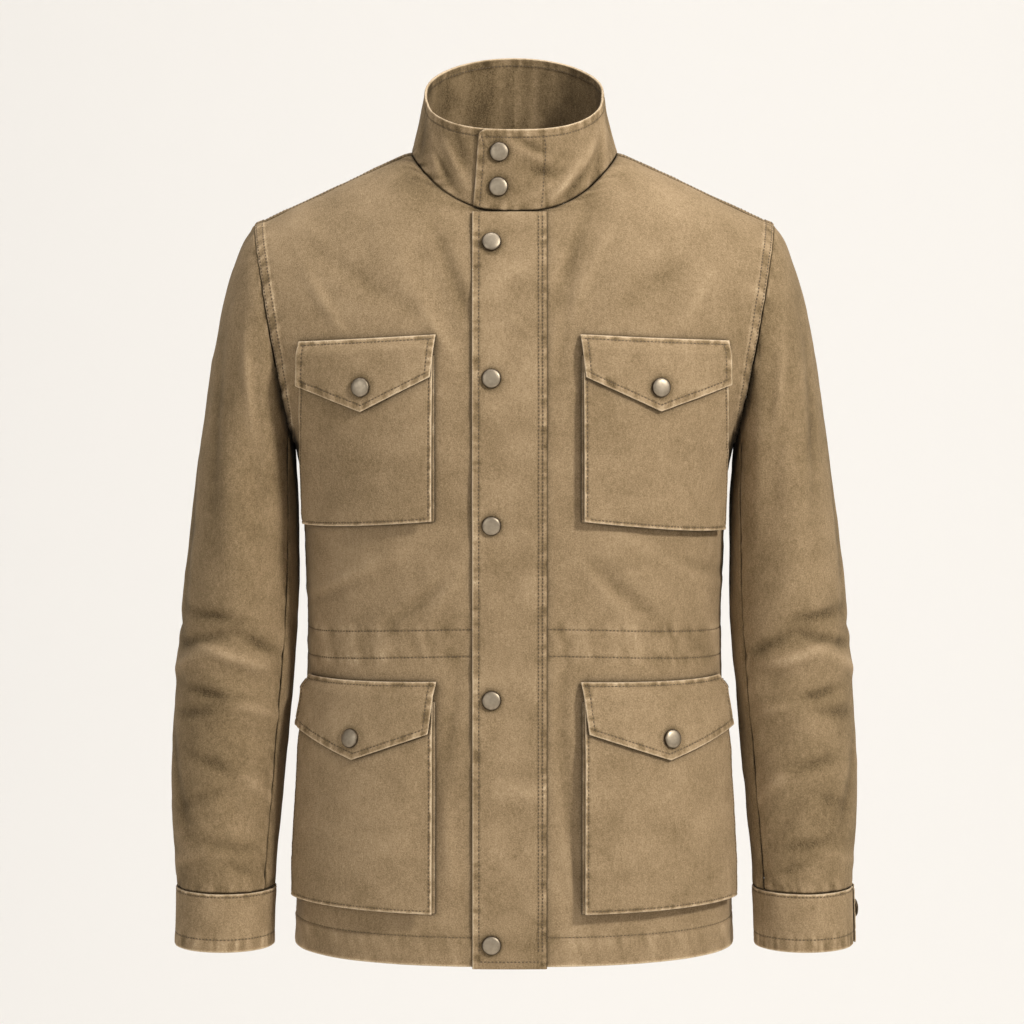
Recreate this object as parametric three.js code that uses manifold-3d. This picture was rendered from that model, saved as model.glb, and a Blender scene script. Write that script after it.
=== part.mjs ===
// Field jacket, hollow and closed, as worn with no wearer. Millimetres, +Z up, the front faces -Y.
// The origin lies midway between the two points where the shoulder seams meet the collar.
import * as THREE from 'three';
import { mergeVertices } from 'three/addons/utils/BufferGeometryUtils.js';
import Module from 'manifold-3d';

const wasm = await Module();
wasm.setup();

// Driving sizes
const CLOTH = 1.6;            // wall of a body or sleeve panel
const DOUBLE = 2.2;           // wall of collar, fly, flaps and cuffs, which are two layers
const SEAM_GAP = 0.3;         // clearance between two pieces at a seam
const HEM_Z = -717;
const ARMPIT_Z = -262;
const TIP = { x: 233, z: -66 };       // shoulder tip, top of the armhole
const ARMPIT_X = 198;
const ARMHOLE_DEPTH = 78;             // half of the armhole's front to back size
const NECK_HALF = 92;                 // half width of the neck opening at the shoulder seams
const NECK_FRONT = 86;                // front and back reach of the neck opening
const NECK_BACK = 70;
const NECK_POWER_FRONT = 2.6;         // roundness of the neckline in front, 2 is an ellipse
const JOIN = 2;                       // the halves of the back share this much at the middle
const SEAM_ANGLE = 82;                // where the shoulder seam lies on the armhole, just before its top
const PLAN_POWER = 2.35;              // squareness of the body seen from above
const FRONT_POWER = 2.2;              // how the front and back round over the shoulder
const BACK_POWER = 3;
const FRONT_EDGE = 14;                // the two fronts meet here, under the fly
const GUSSET_GAP = { base: 1.3, face: 0.9 };   // a pocket's bellows stand off the front and the face by this
const FLY = { left: -37, right: 29, lift: 2.6 };
const FLY_MIDDLE = (FLY.left + FLY.right) / 2;
const FLY_HALF = (FLY.right - FLY.left) / 2;
const CUFF = { top: -661.5, bottom: -714 };
const SNAP = { radius: 8.6, height: 3 };

// Torso sections below the armpit: half width, and reach to the front and the back
const TORSO = [
  { z: HEM_Z, half: 199, front: 134, back: 130 },
  { z: -640, half: 197, front: 133, back: 128 },
  { z: -560, half: 192, front: 129, back: 122 },
  { z: -443, half: 187, front: 123, back: 115 },
  { z: -360, half: 189, front: 128, back: 121 },
  { z: -300, half: 191, front: 132, back: 127 },
  { z: ARMPIT_Z, half: ARMPIT_X, front: 134, back: 130 },
];

// Sleeve rings from armhole to cuff seam: outer and inner edge, half depth, and how far the arm bends forward
const SLEEVE = [
  { ox: TIP.x, oz: TIP.z, ix: ARMPIT_X, iz: ARMPIT_Z, depth: 78, bend: 0 },
  { ox: 246, oz: -87, ix: 197.5, iz: -272, depth: 80, bend: 0 },
  { ox: 259, oz: -126, ix: 196.5, iz: -284, depth: 81, bend: 0 },
  { ox: 269, oz: -172, ix: 195.6, iz: -300, depth: 80, bend: 0 },
  { ox: 278, oz: -225, ix: 194.8, iz: -322, depth: 77, bend: 0 },
  { ox: 286, oz: -280, ix: 194.5, iz: -350, depth: 74, bend: -1 },
  { ox: 293, oz: -338, ix: 194.5, iz: -382, depth: 70, bend: -3 },
  { ox: 300, oz: -398, ix: 195.5, iz: -420, depth: 67, bend: -6 },
  { ox: 305, oz: -460, ix: 199, iz: -466, depth: 64, bend: -11 },
  { ox: 309, oz: -525, ix: 204, iz: -525, depth: 60, bend: -18 },
  { ox: 310, oz: -590, ix: 210, iz: -590, depth: 55, bend: -26 },
  { ox: 307, oz: -635, ix: 214.5, iz: -635, depth: 50, bend: -32 },
  { ox: 305, oz: -661, ix: 216, iz: -661, depth: 47, bend: -35 },
];

// The largest folds: middle on the front view, slope in degrees, half length, half width, depth.
// A trough has a negative depth.
const FRONT_FOLDS = [
  { x: 92, z: -128, slope: 62, long: 70, wide: 20, deep: 3.2 },
  { x: -62, z: -118, slope: -58, long: 70, wide: 18, deep: -3 },
  { x: 118, z: -372, slope: -38, long: 75, wide: 16, deep: 3 },
  { x: 150, z: -392, slope: -50, long: 55, wide: 14, deep: -3 },
  { x: -120, z: -392, slope: 42, long: 70, wide: 17, deep: -2.6 },
  { x: -75, z: -560, slope: 84, long: 90, wide: 14, deep: -2.4 },
  { x: 47, z: -610, slope: -86, long: 90, wide: 9, deep: -2.6 },
];
const BACK_FOLDS = [
  { x: 105, z: -380, slope: 48, long: 80, wide: 18, deep: -3 },
  { x: -110, z: -372, slope: -46, long: 80, wide: 18, deep: -3 },
  { x: 40, z: -590, slope: 86, long: 110, wide: 20, deep: 3 },
  { x: -58, z: -600, slope: -84, long: 110, wide: 20, deep: 3 },
  { x: 120, z: -150, slope: 66, long: 70, wide: 20, deep: -2.6 },
  { x: -122, z: -146, slope: -66, long: 70, wide: 20, deep: -2.6 },
];
// Sleeve folds: angle round the sleeve, height, slope, half length, half width, depth
const SLEEVE_FOLDS = [
  { turn: 10, z: -430, slope: 12, long: 46, wide: 12, deep: -5 },
  { turn: -12, z: -468, slope: 14, long: 40, wide: 11, deep: -4.5 },
  { turn: 34, z: -452, slope: -18, long: 34, wide: 10, deep: 3.5 },
  { turn: -25, z: -520, slope: 24, long: 36, wide: 11, deep: -3.5 },
  { turn: -18, z: -590, slope: 52, long: 34, wide: 10, deep: -3 },
  { turn: 22, z: -300, slope: 78, long: 90, wide: 16, deep: 3.4 },
  { turn: -8, z: -270, slope: 80, long: 100, wide: 15, deep: -4 },
  { turn: 172, z: -420, slope: -14, long: 50, wide: 13, deep: -4.5 },
  { turn: 195, z: -470, slope: 16, long: 44, wide: 12, deep: -4 },
  { turn: 165, z: -545, slope: 22, long: 40, wide: 12, deep: 3 },
  { turn: 150, z: -290, slope: 82, long: 95, wide: 18, deep: -3.4 },
];

// Pockets: corners on the front view, side -1 is the wearer's right.
// A flap leans away from the middle at its point, and at its inner corner by the share named corner.
const CHEST_FLAP = { taper: 5, flapSide: 37, flapPoint: 63, lean: 3, corner: 1, snapShift: 2, snapUp: 19 };
const HIP_FLAP = { taper: 0, flapSide: 46, flapPoint: 70, lean: 10, corner: 0.45, snapShift: 7, snapUp: 19 };
const CHEST_POCKET = {
  out: 187, top: -159, bottomIn: -320, bottomOut: -331, drop: 8, depth: 8, ...CHEST_FLAP,
};
const HIP_POCKET = { out: 190, top: -466, bottomIn: -669, bottomOut: -668, drop: 4, depth: 11, ...HIP_FLAP };
const POCKETS = [
  { ...CHEST_POCKET, name: 'chest_right', side: -1, in: 71 },
  { ...CHEST_POCKET, name: 'chest_left', side: 1, in: 60, out: 186, bottomOut: -336, drop: 7 },
  { ...HIP_POCKET, name: 'hip_right', side: -1, in: 71 },
  { ...HIP_POCKET, name: 'hip_left', side: 1, in: 61 },
];
const RIDGE_BLEND = 0.12;             // how softly the neck's base turns into the shoulder line
const SIDE_LIMIT = 0.965;             // pockets stop short of the side seam, at this share of the half width
// How far a flap reaches past its pocket at the top, how much more at its lower corners,
// and how far its face stands over the pocket's
const FLAP = { over: 2.5, wing: -1, out: 5 };

// Snap heights on the fly and the collar
const FLY_SNAPS = [-78, -195, -324, -480, -697];
const FLY_SNAP_X = -20;
const COLLAR = {
  end: -34, tail: 18, snapX: -14,
  rimHalf: 80, rimFront: 80, rimBack: 69, rimZ: 54, rimTilt: 0.41,
};
const COLLAR_SNAPS = [0.29, 0.72];

const RAD = Math.PI / 180;
const lerp = (a, b, t) => a + (b - a) * t;
const clamp = (v, lo, hi) => Math.min(hi, Math.max(lo, v));
const smooth = (t) => clamp(t, 0, 1) ** 2 * (3 - 2 * clamp(t, 0, 1));
const vec = (x, y, z) => new THREE.Vector3(x, y, z);

// Catmull-Rom reading of one column of a table at a fractional row
function column(table, key, at) {
  const last = table.length - 1;
  const i = clamp(Math.floor(at), 0, last - 1);
  const t = at - i;
  const value = (k) => table[clamp(k, 0, last)][key];
  const [a, b, c, d] = [value(i - 1), value(i), value(i + 1), value(i + 2)];
  const slopeB = i === 0 ? c - b : (c - a) / 2;
  const slopeC = i === last - 1 ? c - b : (d - b) / 2;
  const t2 = t * t;
  const t3 = t2 * t;
  return b * (2 * t3 - 3 * t2 + 1) + slopeB * (t3 - 2 * t2 + t) + c * (3 * t2 - 2 * t3) + slopeC * (t3 - t2);
}

// Fractional row of the torso table at a height
function torsoRow(z) {
  const last = TORSO.length - 1;
  const i = clamp(TORSO.findIndex((row) => row.z > z) - 1, 0, last - 1);
  if (z >= TORSO[last].z) return last;
  return i + clamp((z - TORSO[i].z) / (TORSO[i + 1].z - TORSO[i].z), 0, 1);
}

const halfAt = (z) => column(TORSO, 'half', torsoRow(z));

// A soft ridge or trough along a line: full height in the middle, fading along and across it
function foldHeight(fold, across, along) {
  const a = across / fold.wide;
  const b = along / fold.long;
  return fold.deep * Math.exp(-a * a) * Math.exp(-b * b * 1.5);
}

// Folds fade out towards the hem, the neckline and the armhole or side seam
function foldFade(x, z) {
  const edge = z > ARMPIT_Z ? lerp(ARMPIT_X, TIP.x, (z - ARMPIT_Z) / (TIP.z - ARMPIT_Z)) : halfAt(z);
  const fromNeck = Math.hypot(x, 1.8 * z) - NECK_HALF;
  const fromFly = Math.abs(x - FLY_MIDDLE) - FLY_HALF;
  const fromSide = edge - Math.abs(x);
  return smooth((z - HEM_Z) / 50) * smooth(fromSide / 45) * smooth(fromNeck / 60) * smooth(fromFly / 30);
}

function panelFolds(folds, x, z) {
  return foldFade(x, z) * folds.reduce((sum, fold) => {
    const [c, s] = [Math.cos(fold.slope * RAD), Math.sin(fold.slope * RAD)];
    const [dx, dz] = [x - fold.x, z - fold.z];
    return sum + foldHeight(fold, dz * c - dx * s, dx * c + dz * s);
  }, 0);
}

// One torso section: rim is the armhole angle in degrees above the armpit, or a height below it.
// Returns half width, reach, height at the middle and at the edge, and where the edge is cut by the armhole.
function sectionBelow(z, front) {
  const at = torsoRow(z);
  return { half: column(TORSO, 'half', at), reach: column(TORSO, front ? 'front' : 'back', at),
    edgeX: column(TORSO, 'half', at), rise: 0, z, power: PLAN_POWER };
}

function sectionAbove(angle, front) {
  const rise = (1 + Math.sin(angle * RAD)) / 2;
  const roll = front ? FRONT_POWER : BACK_POWER;
  const full = TORSO[TORSO.length - 1][front ? 'front' : 'back'];
  const reach = Math.max(full * (1 - rise ** roll) ** (1 / roll), 0.02);
  const edgeY = Math.abs(ARMHOLE_DEPTH * Math.cos(angle * RAD));
  const edgeX = lerp(ARMPIT_X, TIP.x, rise);
  const cut = (1 - clamp(edgeY / reach, 0, 0.98) ** PLAN_POWER) ** (1 / PLAN_POWER);
  return { half: edgeX / cut, reach, edgeX, rise, z: ARMPIT_Z, power: PLAN_POWER };
}

// Height of the shoulder line over a share of the way from neck to armhole
function ridge(x, edgeX) {
  const share = (x - NECK_HALF) / (edgeX - NECK_HALF);
  return TIP.z * (share > RIDGE_BLEND ? share : Math.max(0, share + RIDGE_BLEND) ** 2 / (4 * RIDGE_BLEND));
}

// The point of a torso section at a distance from the middle
function sectionPoint(section, x, front) {
  const size = clamp(Math.abs(x) / section.half, 0, 1);
  const y = section.reach * (1 - size ** section.power) ** (1 / section.power);
  const z = section.rise > 0
    ? ARMPIT_Z + (ridge(Math.abs(x), section.edgeX) - ARMPIT_Z) * section.rise
    : section.z;
  return vec(x, front ? -y : y, z);
}

// Heights where a section's middle leaves the panel at the neckline
const riseAtReach = (reach, full, roll) => (1 - (reach / full) ** roll) ** (1 / roll);
const FULL_FRONT = TORSO[TORSO.length - 1].front;
const FULL_BACK = TORSO[TORSO.length - 1].back;
const NECK_ANGLE_FRONT = Math.asin(2 * riseAtReach(NECK_FRONT, FULL_FRONT, FRONT_POWER) - 1) / RAD;
const NECK_ANGLE_BACK = Math.asin(2 * riseAtReach(NECK_BACK, FULL_BACK, BACK_POWER) - 1) / RAD;

// Where a row starts: at the meeting line of the fronts, or at the neckline above it
function startX(section, angle, front, edge) {
  const reachAtNeck = front ? NECK_FRONT : NECK_BACK;
  const neckAngle = front ? NECK_ANGLE_FRONT : NECK_ANGLE_BACK;
  if (angle === null || angle <= neckAngle) return edge;
  const power = front ? NECK_POWER_FRONT : 2;
  return Math.max(edge, NECK_HALF * Math.max(0, 1 - (section.reach / reachAtNeck) ** power) ** (1 / power));
}

// A row of points from startX to the edge, evenly spread over the section's angle
function torsoRowPoints(section, from, front, columns) {
  const reach = (x) => clamp(Math.abs(x) / section.half, 0, 1);
  const angleOf = (x) => Math.acos(Math.sign(x) * reach(x) ** (section.power / 2));
  const [first, last] = [angleOf(from), angleOf(section.edgeX)];
  return Array.from({ length: columns + 1 }, (_, j) => {
    const c = Math.cos(lerp(first, last, j / columns));
    return sectionPoint(section, section.half * Math.sign(c) * Math.abs(c) ** (2 / section.power), front);
  });
}

// Unit normals of a grid of points, turned away from a centre given for each point
function gridNormals(rows, centre, closed = false) {
  return rows.map((row, i) => row.map((point, j) => {
    const n = row.length;
    const before = closed ? row[(j + n - 1) % n] : row[Math.max(j - 1, 0)];
    const after = closed ? row[(j + 1) % n] : row[Math.min(j + 1, n - 1)];
    const below = rows[Math.max(i - 1, 0)][j];
    const above = rows[Math.min(i + 1, rows.length - 1)][j];
    const normal = after.clone().sub(before).cross(above.clone().sub(below)).normalize();
    return normal.dot(point.clone().sub(centre(point, i))) < 0 ? normal.negate() : normal;
  }));
}

// Moves the edges of a grid in by half a seam gap, plus a bevel on the inner side
function pullEdges(rows, amount, sides) {
  const moved = rows.map((row) => row.map((p) => p.clone()));
  const pull = (i, j, k, l) => {
    const step = rows[k][l].clone().sub(rows[i][j]);
    if (step.length() > amount) moved[i][j].add(step.setLength(amount));
  };
  const [m, n] = [rows.length - 1, rows[0].length - 1];
  for (let i = 0; i <= m; i++) {
    if (sides.includes('start')) pull(i, 0, i, 1);
    if (sides.includes('end')) pull(i, n, i, n - 1);
  }
  for (let j = 0; j <= n; j++) {
    if (sides.includes('bottom')) pull(0, j, 1, j);
    if (sides.includes('top')) pull(m, j, m - 1, j);
  }
  return moved;
}

// A closed solid between an outer and an inner grid
function wall(outer, inner, closed = false) {
  const [m, n] = [outer.length, outer[0].length];
  const positions = [];
  [outer, inner].forEach((rows) => rows.forEach((row) => row.forEach((p) => positions.push(p.x, p.y, p.z))));
  const id = (side, i, j) => side * m * n + i * n + (j % n);
  const index = [];
  const quad = (a, b, c, d) => index.push(a, b, c, a, c, d);
  const columns = closed ? n : n - 1;
  for (let i = 0; i < m - 1; i++) {
    for (let j = 0; j < columns; j++) {
      quad(id(0, i, j), id(0, i, j + 1), id(0, i + 1, j + 1), id(0, i + 1, j));
      quad(id(1, i, j), id(1, i + 1, j), id(1, i + 1, j + 1), id(1, i, j + 1));
    }
    if (!closed) {
      quad(id(0, i, 0), id(0, i + 1, 0), id(1, i + 1, 0), id(1, i, 0));
      quad(id(0, i, n - 1), id(1, i, n - 1), id(1, i + 1, n - 1), id(0, i + 1, n - 1));
    }
  }
  for (let j = 0; j < columns; j++) {
    quad(id(0, 0, j), id(1, 0, j), id(1, 0, j + 1), id(0, 0, j + 1));
    quad(id(0, m - 1, j), id(0, m - 1, j + 1), id(1, m - 1, j + 1), id(1, m - 1, j));
  }
  const volume = signedVolume(positions, index);
  if (volume < 0) {
    for (let k = 0; k < index.length; k += 3) {
      [index[k + 1], index[k + 2]] = [index[k + 2], index[k + 1]];
    }
  }
  const geometry = new THREE.BufferGeometry();
  geometry.setAttribute('position', new THREE.Float32BufferAttribute(positions, 3));
  geometry.setIndex(index);
  geometry.computeVertexNormals();
  return geometry;
}

function signedVolume(positions, index) {
  const at = (k) => vec(positions[3 * k], positions[3 * k + 1], positions[3 * k + 2]);
  let sum = 0;
  for (let k = 0; k < index.length; k += 3) {
    sum += at(index[k]).dot(at(index[k + 1]).cross(at(index[k + 2])));
  }
  return sum / 6;
}

// Cloth between a grid and the same grid moved in by its thickness, with seam gaps on the named sides
function panel(rows, centre, thickness, sides, closed = false) {
  const normals = gridNormals(rows, centre, closed);
  const inner = rows.map((row, i) => row.map((p, j) => p.clone().addScaledVector(normals[i][j], -thickness)));
  const bevel = SEAM_GAP / 2 + 0.5 * thickness;
  return wall(pullEdges(rows, SEAM_GAP / 2 + 0.05, sides), pullEdges(inner, bevel, sides), closed);
}

const mirror = (rows, side) => rows.map((row) => row.map((p) => vec(p.x * side, p.y, p.z)));
const torsoCentre = (p) => vec(0, 0, Math.min(p.z, ARMPIT_Z));

// Body panels. Rows run from the hem to the armpit, then up the armhole to the shoulder seam.
const HEM_ROWS = [HEM_Z, -680, -640, -600, -560, -520, -482, -443, -405, -360, -330, -300, -280];
const spread = (from, to, count) => Array.from({ length: count + 1 }, (_, k) => lerp(from, to, k / count));

const NECK_ROWS_FRONT = [
  NECK_ANGLE_FRONT, NECK_ANGLE_FRONT + 0.8, ...spread(NECK_ANGLE_FRONT + 4, SEAM_ANGLE, 6),
];
const NECK_ROWS_BACK = [NECK_ANGLE_BACK, NECK_ANGLE_BACK + 0.8, ...spread(NECK_ANGLE_BACK + 4, 88, 4)];

function frontRows(edge, columns) {
  const angles = [...spread(-90, -30, 4), ...spread(-8, NECK_ANGLE_FRONT - 12, 2), ...NECK_ROWS_FRONT];
  const low = HEM_ROWS.map((z) => torsoRowPoints(sectionBelow(z, true), edge, true, columns));
  const high = angles.map((angle) => {
    const section = sectionAbove(angle, true);
    return torsoRowPoints(section, startX(section, angle, true, edge), true, columns);
  });
  return [...low, ...high];
}

// Half of the back, with the strip that comes over the shoulder to the seam in front
function backRows(columns) {
  const angles = [...spread(-90, -30, 4), ...spread(-8, NECK_ANGLE_BACK - 10, 3), ...NECK_ROWS_BACK];
  const low = HEM_ROWS.map((z) => torsoRowPoints(sectionBelow(z, false), -JOIN, false, columns));
  const high = angles.map((angle) => {
    const section = sectionAbove(angle, false);
    return torsoRowPoints(section, startX(section, angle, false, -JOIN), false, columns);
  });
  const over = [88, SEAM_ANGLE].map((angle) => {
    const section = sectionAbove(angle, true);
    return torsoRowPoints(section, startX(section, angle, true, FRONT_EDGE), true, columns);
  });
  return [...low, ...high, ...over];
}

function withFolds(rows, centre, folds) {
  const normals = gridNormals(rows, centre);
  return rows.map((row, i) => row.map((p, j) =>
    p.clone().addScaledVector(normals[i][j], panelFolds(folds, p.x, p.z))));
}

function frontPanel(side) {
  const edge = side > 0 ? FRONT_EDGE : -FRONT_EDGE + SEAM_GAP;
  const rows = mirror(frontRows(edge, 12), side);
  const folded = withFolds(rows, torsoCentre, FRONT_FOLDS);
  return panel(folded, torsoCentre, CLOTH, ['start', 'end', 'top']);
}

// The back is two mirrored halves joined along the middle
function backPanel() {
  const halves = [1, -1].map((side) => {
    const rows = mirror(backRows(12), side);
    const folded = withFolds(rows, torsoCentre, BACK_FOLDS);
    return toSolid(panel(folded, torsoCentre, CLOTH, ['end', 'top']));
  });
  return toGeometry(halves[0].add(halves[1]));
}

function toSolid(geometry) {
  const bare = geometry.clone();
  bare.deleteAttribute('normal');
  const merged = mergeVertices(bare, 1e-4);
  return new wasm.Manifold(new wasm.Mesh({ numProp: 3,
    vertProperties: new Float32Array(merged.attributes.position.array),
    triVerts: new Uint32Array(merged.index.array) }));
}

function toGeometry(solid) {
  const { numProp, numVert, vertProperties, triVerts } = solid.getMesh();
  const positions = new Float32Array(numVert * 3);
  for (let i = 0; i < numVert; i++) {
    positions.set(vertProperties.subarray(i * numProp, i * numProp + 3), 3 * i);
  }
  const geometry = new THREE.BufferGeometry();
  geometry.setAttribute('position', new THREE.BufferAttribute(positions, 3));
  geometry.setIndex(Array.from(triVerts));
  return geometry;
}

// Sleeve points at an angle round a ring: -90 at the underarm, 0 in front, 90 at the outer edge
function sleevePoint(at, angle, grow = 0) {
  const get = (key) => column(SLEEVE, key, at);
  const [c, s] = [Math.cos(angle * RAD), Math.sin(angle * RAD)];
  const [ox, oz, ix, iz] = [get('ox'), get('oz'), get('ix'), get('iz')];
  const halfX = (ox - ix) / 2;
  const halfZ = (oz - iz) / 2;
  const size = Math.hypot(halfX, halfZ);
  const k = (size + grow) / size;
  const y = get('bend') - (get('depth') + grow) * c;
  return vec((ox + ix) / 2 + halfX * s * k, y, (oz + iz) / 2 + halfZ * s * k);
}

const sleeveCentre = (p, at) => {
  const get = (key) => column(SLEEVE, key, at);
  return vec((get('ox') + get('ix')) / 2, get('bend'), (get('oz') + get('iz')) / 2);
};

const SLEEVE_ROWS = [
  0, 0.35, 0.8, 1.5, 2.2, 3, 3.8, 4.6, 5.4, 6.2, 6.8, 7.3, 7.8, 8.3, 8.8, 9.4, 10, 10.7, 11.4, 12,
];
const SLEEVE_SEAMS = { front: -55, back: 205 };

// Folds on a sleeve are placed by angle and height, with the slope measured along the cloth
function sleeveFolds(angle, p, at) {
  const radius = (column(SLEEVE, 'depth', at) + 50) / 2;
  return SLEEVE_FOLDS.reduce((sum, fold) => {
    const [c, s] = [Math.cos(fold.slope * RAD), Math.sin(fold.slope * RAD)];
    const dx = (angle - fold.turn) * RAD * radius;
    const dz = p.z - fold.z;
    return sum + foldHeight(fold, dz * c - dx * s, dx * c + dz * s);
  }, 0);
}

function sleevePanel(side, from, to, columns) {
  const rows = SLEEVE_ROWS.map((at) => spread(from, to, columns).map((angle) => {
    const p = sleevePoint(at, angle);
    const outward = p.clone().sub(sleeveCentre(p, at)).normalize();
    const fadeDown = smooth(at / 1.5) * smooth((12 - at) / 1.2);
    const fade = fadeDown * smooth((angle - from) / 18) * smooth((to - angle) / 18);
    return p.addScaledVector(outward, sleeveFolds(angle, p, at) * fade);
  }));
  const centre = (p, i) => {
    const c = sleeveCentre(p, SLEEVE_ROWS[i]);
    return vec(c.x * side, c.y, c.z);
  };
  return panel(mirror(rows, side), centre, CLOTH, ['start', 'end', 'top', 'bottom']);
}

// The cuff is a band that laps over itself at the outer edge
const CUFF_LAP = { end: { left: 92, right: 112 }, overlap: 42, grow: 0.7 };

const CUFF_LIFT = DOUBLE + SEAM_GAP + 0.2;

function cuffPoint(side, angle, z, lift) {
  const last = SLEEVE.length - 1;
  const p = sleevePoint(last, angle, CUFF_LAP.grow + lift);
  const down = (CUFF.top - z) / (CUFF.top - CUFF.bottom);
  const lower = vec(1.5 * down, -3 * down, 0);
  return vec((p.x + lower.x) * side, p.y + lower.y, z);
}

function cuff(side, start) {
  const end = start + 360 + CUFF_LAP.overlap;
  const angles = spread(start, end, 40);
  const liftAt = (angle) => CUFF_LIFT * (1 - smooth((angle - start - CUFF_LAP.overlap) / 60));
  const grid = (extra) => spread(CUFF.bottom, CUFF.top, 2).map((z) =>
    angles.map((angle) => cuffPoint(side, angle, z, liftAt(angle) + extra)));
  return wall(grid(0), grid(-DOUBLE));
}

// A point of the torso's front at a place on the front view, and its outward normal
function frontPoint(x, z) {
  const ax = Math.abs(x);
  if (z <= ARMPIT_Z) return sectionPoint(sectionBelow(z, true), x, true);
  let [low, high] = [-90, 89];
  for (let k = 0; k < 24; k++) {
    const middle = (low + high) / 2;
    const section = sectionAbove(middle, true);
    const height = ARMPIT_Z + (ridge(ax, section.edgeX) - ARMPIT_Z) * section.rise;
    if (height < z) low = middle;
    else high = middle;
  }
  const p = sectionPoint(sectionAbove(low, true), x, true);
  return vec(x, p.y, z);
}

function frontNormal(x, z) {
  const d = 3;
  const limit = 0.985 * sectionBelow(Math.min(z, ARMPIT_Z), true).half;
  const cx = clamp(x, -limit + d, limit - d);
  const across = frontPoint(cx + d, z).sub(frontPoint(cx - d, z));
  const up = frontPoint(cx, z + d).sub(frontPoint(cx, z - d));
  return across.cross(up).normalize();
}

// A piece that lies on the front: its points are the front's, moved out
function lifted(x, z, lift) {
  return frontPoint(x, z).addScaledVector(frontNormal(x, z), lift + panelFolds(FRONT_FOLDS, x, z));
}

function layer(grid, liftAt, thickness) {
  const place = (extra) => grid.map((row, i) => row.map(([x, z], j) =>
    lifted(x, z, liftAt(x, z, i, j) + extra)));
  return wall(place(thickness), place(0));
}

// Height of the neckline at a distance from the middle of the front
function necklineZ(x) {
  let [low, high] = [NECK_ANGLE_FRONT, 89.9];
  for (let k = 0; k < 24; k++) {
    const middle = (low + high) / 2;
    if (startX(sectionAbove(middle, true), middle, true, 0) < Math.abs(x)) low = middle;
    else high = middle;
  }
  return sectionPoint(sectionAbove(low, true), x, true).z;
}

function fly() {
  const heights = [HEM_Z - 1.5, -700, -660, -620, -580, -540, -500, -460, -420, -380, -340, -300, -262,
    -225, -190, -160, -130, -105, -82, -66, -56, necklineZ(0) - 1.6];
  const grid = heights.map((z) => spread(FLY.left, FLY.right, 4).map((x) => [x, z]));
  return layer(grid, () => SEAM_GAP + 0.15, FLY.lift - SEAM_GAP);
}

// Pocket outline as shares: across from the inner to the outer edge, and down from the top to the bottom
function pocketPlace(pocket, across, z) {
  const down = clamp((pocket.top - z) / (pocket.top - pocket.bottomOut), 0, 1);
  const out = Math.min(pocket.out - pocket.taper * down, SIDE_LIMIT * halfAt(z));
  return [pocket.side * lerp(pocket.in, out, across), z];
}

// Shares across a pocket, closer together near the side, where the front bends most
const packed = (count) => spread(0, 1, count).map((t) => 1 - (1 - t) ** 1.5);

const pocketBottom = (pocket, across) => lerp(pocket.bottomIn, pocket.bottomOut, across);

// How far the pocket's face stands out: full at the bottom and sides, less under the flap
const pocketLift = (pocket, z) => lerp(0.45, 1, smooth((pocket.top - z) / 70)) * pocket.depth;

function pocketFace(pocket) {
  const top = pocket.top - 14;
  const grid = spread(0, 1, 7).map((v) => packed(8).map((u) =>
    pocketPlace(pocket, u, lerp(pocketBottom(pocket, u), top - pocket.drop * u, v))));
  return layer(grid, (x, z) => pocketLift(pocket, z), CLOTH);
}

// The bellows round the sides and bottom: wider at the front than at the pocket's face, folded in between
function pocketGusset(pocket) {
  const top = pocket.top - 16;
  const side = (across, from, to, count) => spread(from, to, count).map((z) => [across, z]);
  const inset = 2.6;
  const span = pocket.out - pocket.in;
  const [a, b] = [inset / span, 1 - inset / span];
  const foot = (u) => pocketBottom(pocket, u) + inset;
  const path = [
    ...side(a, top, foot(a) + 6, 7), ...packed(9).map((t) => [lerp(a, b, t), foot(lerp(a, b, t))]),
    ...side(b, foot(b) + 6, top - pocket.drop, 7),
  ];
  const middle = [0.5, (top + foot(0.5)) / 2];
  const place = (u, z, inwards, share) => {
    const step = (distance) => Math.sign(distance) * Math.min(Math.abs(distance), inwards);
    const toMiddle = [step((middle[0] - u) * span) / span, step(middle[1] - z)];
    const onSide = u <= a || u >= b;
    const onFoot = z <= foot(u) + 1;
    const [x, height] = pocketPlace(pocket, u + (onSide ? toMiddle[0] : 0), z + (onFoot ? toMiddle[1] : 0));
    const reach = pocketLift(pocket, z) - GUSSET_GAP.base - GUSSET_GAP.face;
    return lifted(x, height, GUSSET_GAP.base + reach * share);
  };
  const profile = [{ share: 0, inwards: -4 }, { share: 0.5, inwards: 2.5 }, { share: 1, inwards: 0 }];
  const grid = (extra) => profile.map((row) => path.map(([u, z]) =>
    place(u, z, row.inwards + extra, row.share)));
  return wall(grid(0.05), grid(1.4));
}

// The flap hangs over the pocket to a point; its top edge is sewn to the front
const FLAP_ROWS = 6;
const FLAP_COLUMNS = [0, 0.17, 0.34, 0.5, 0.62, 0.74, 0.84, 0.93, 1];

// The share of the lean across a flap: most near the point, none at the outer corner
const leanShare = ({ corner }, u) => corner + (3.5 - 3 * corner) * u + (2 * corner - 3.5) * u * u;

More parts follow.
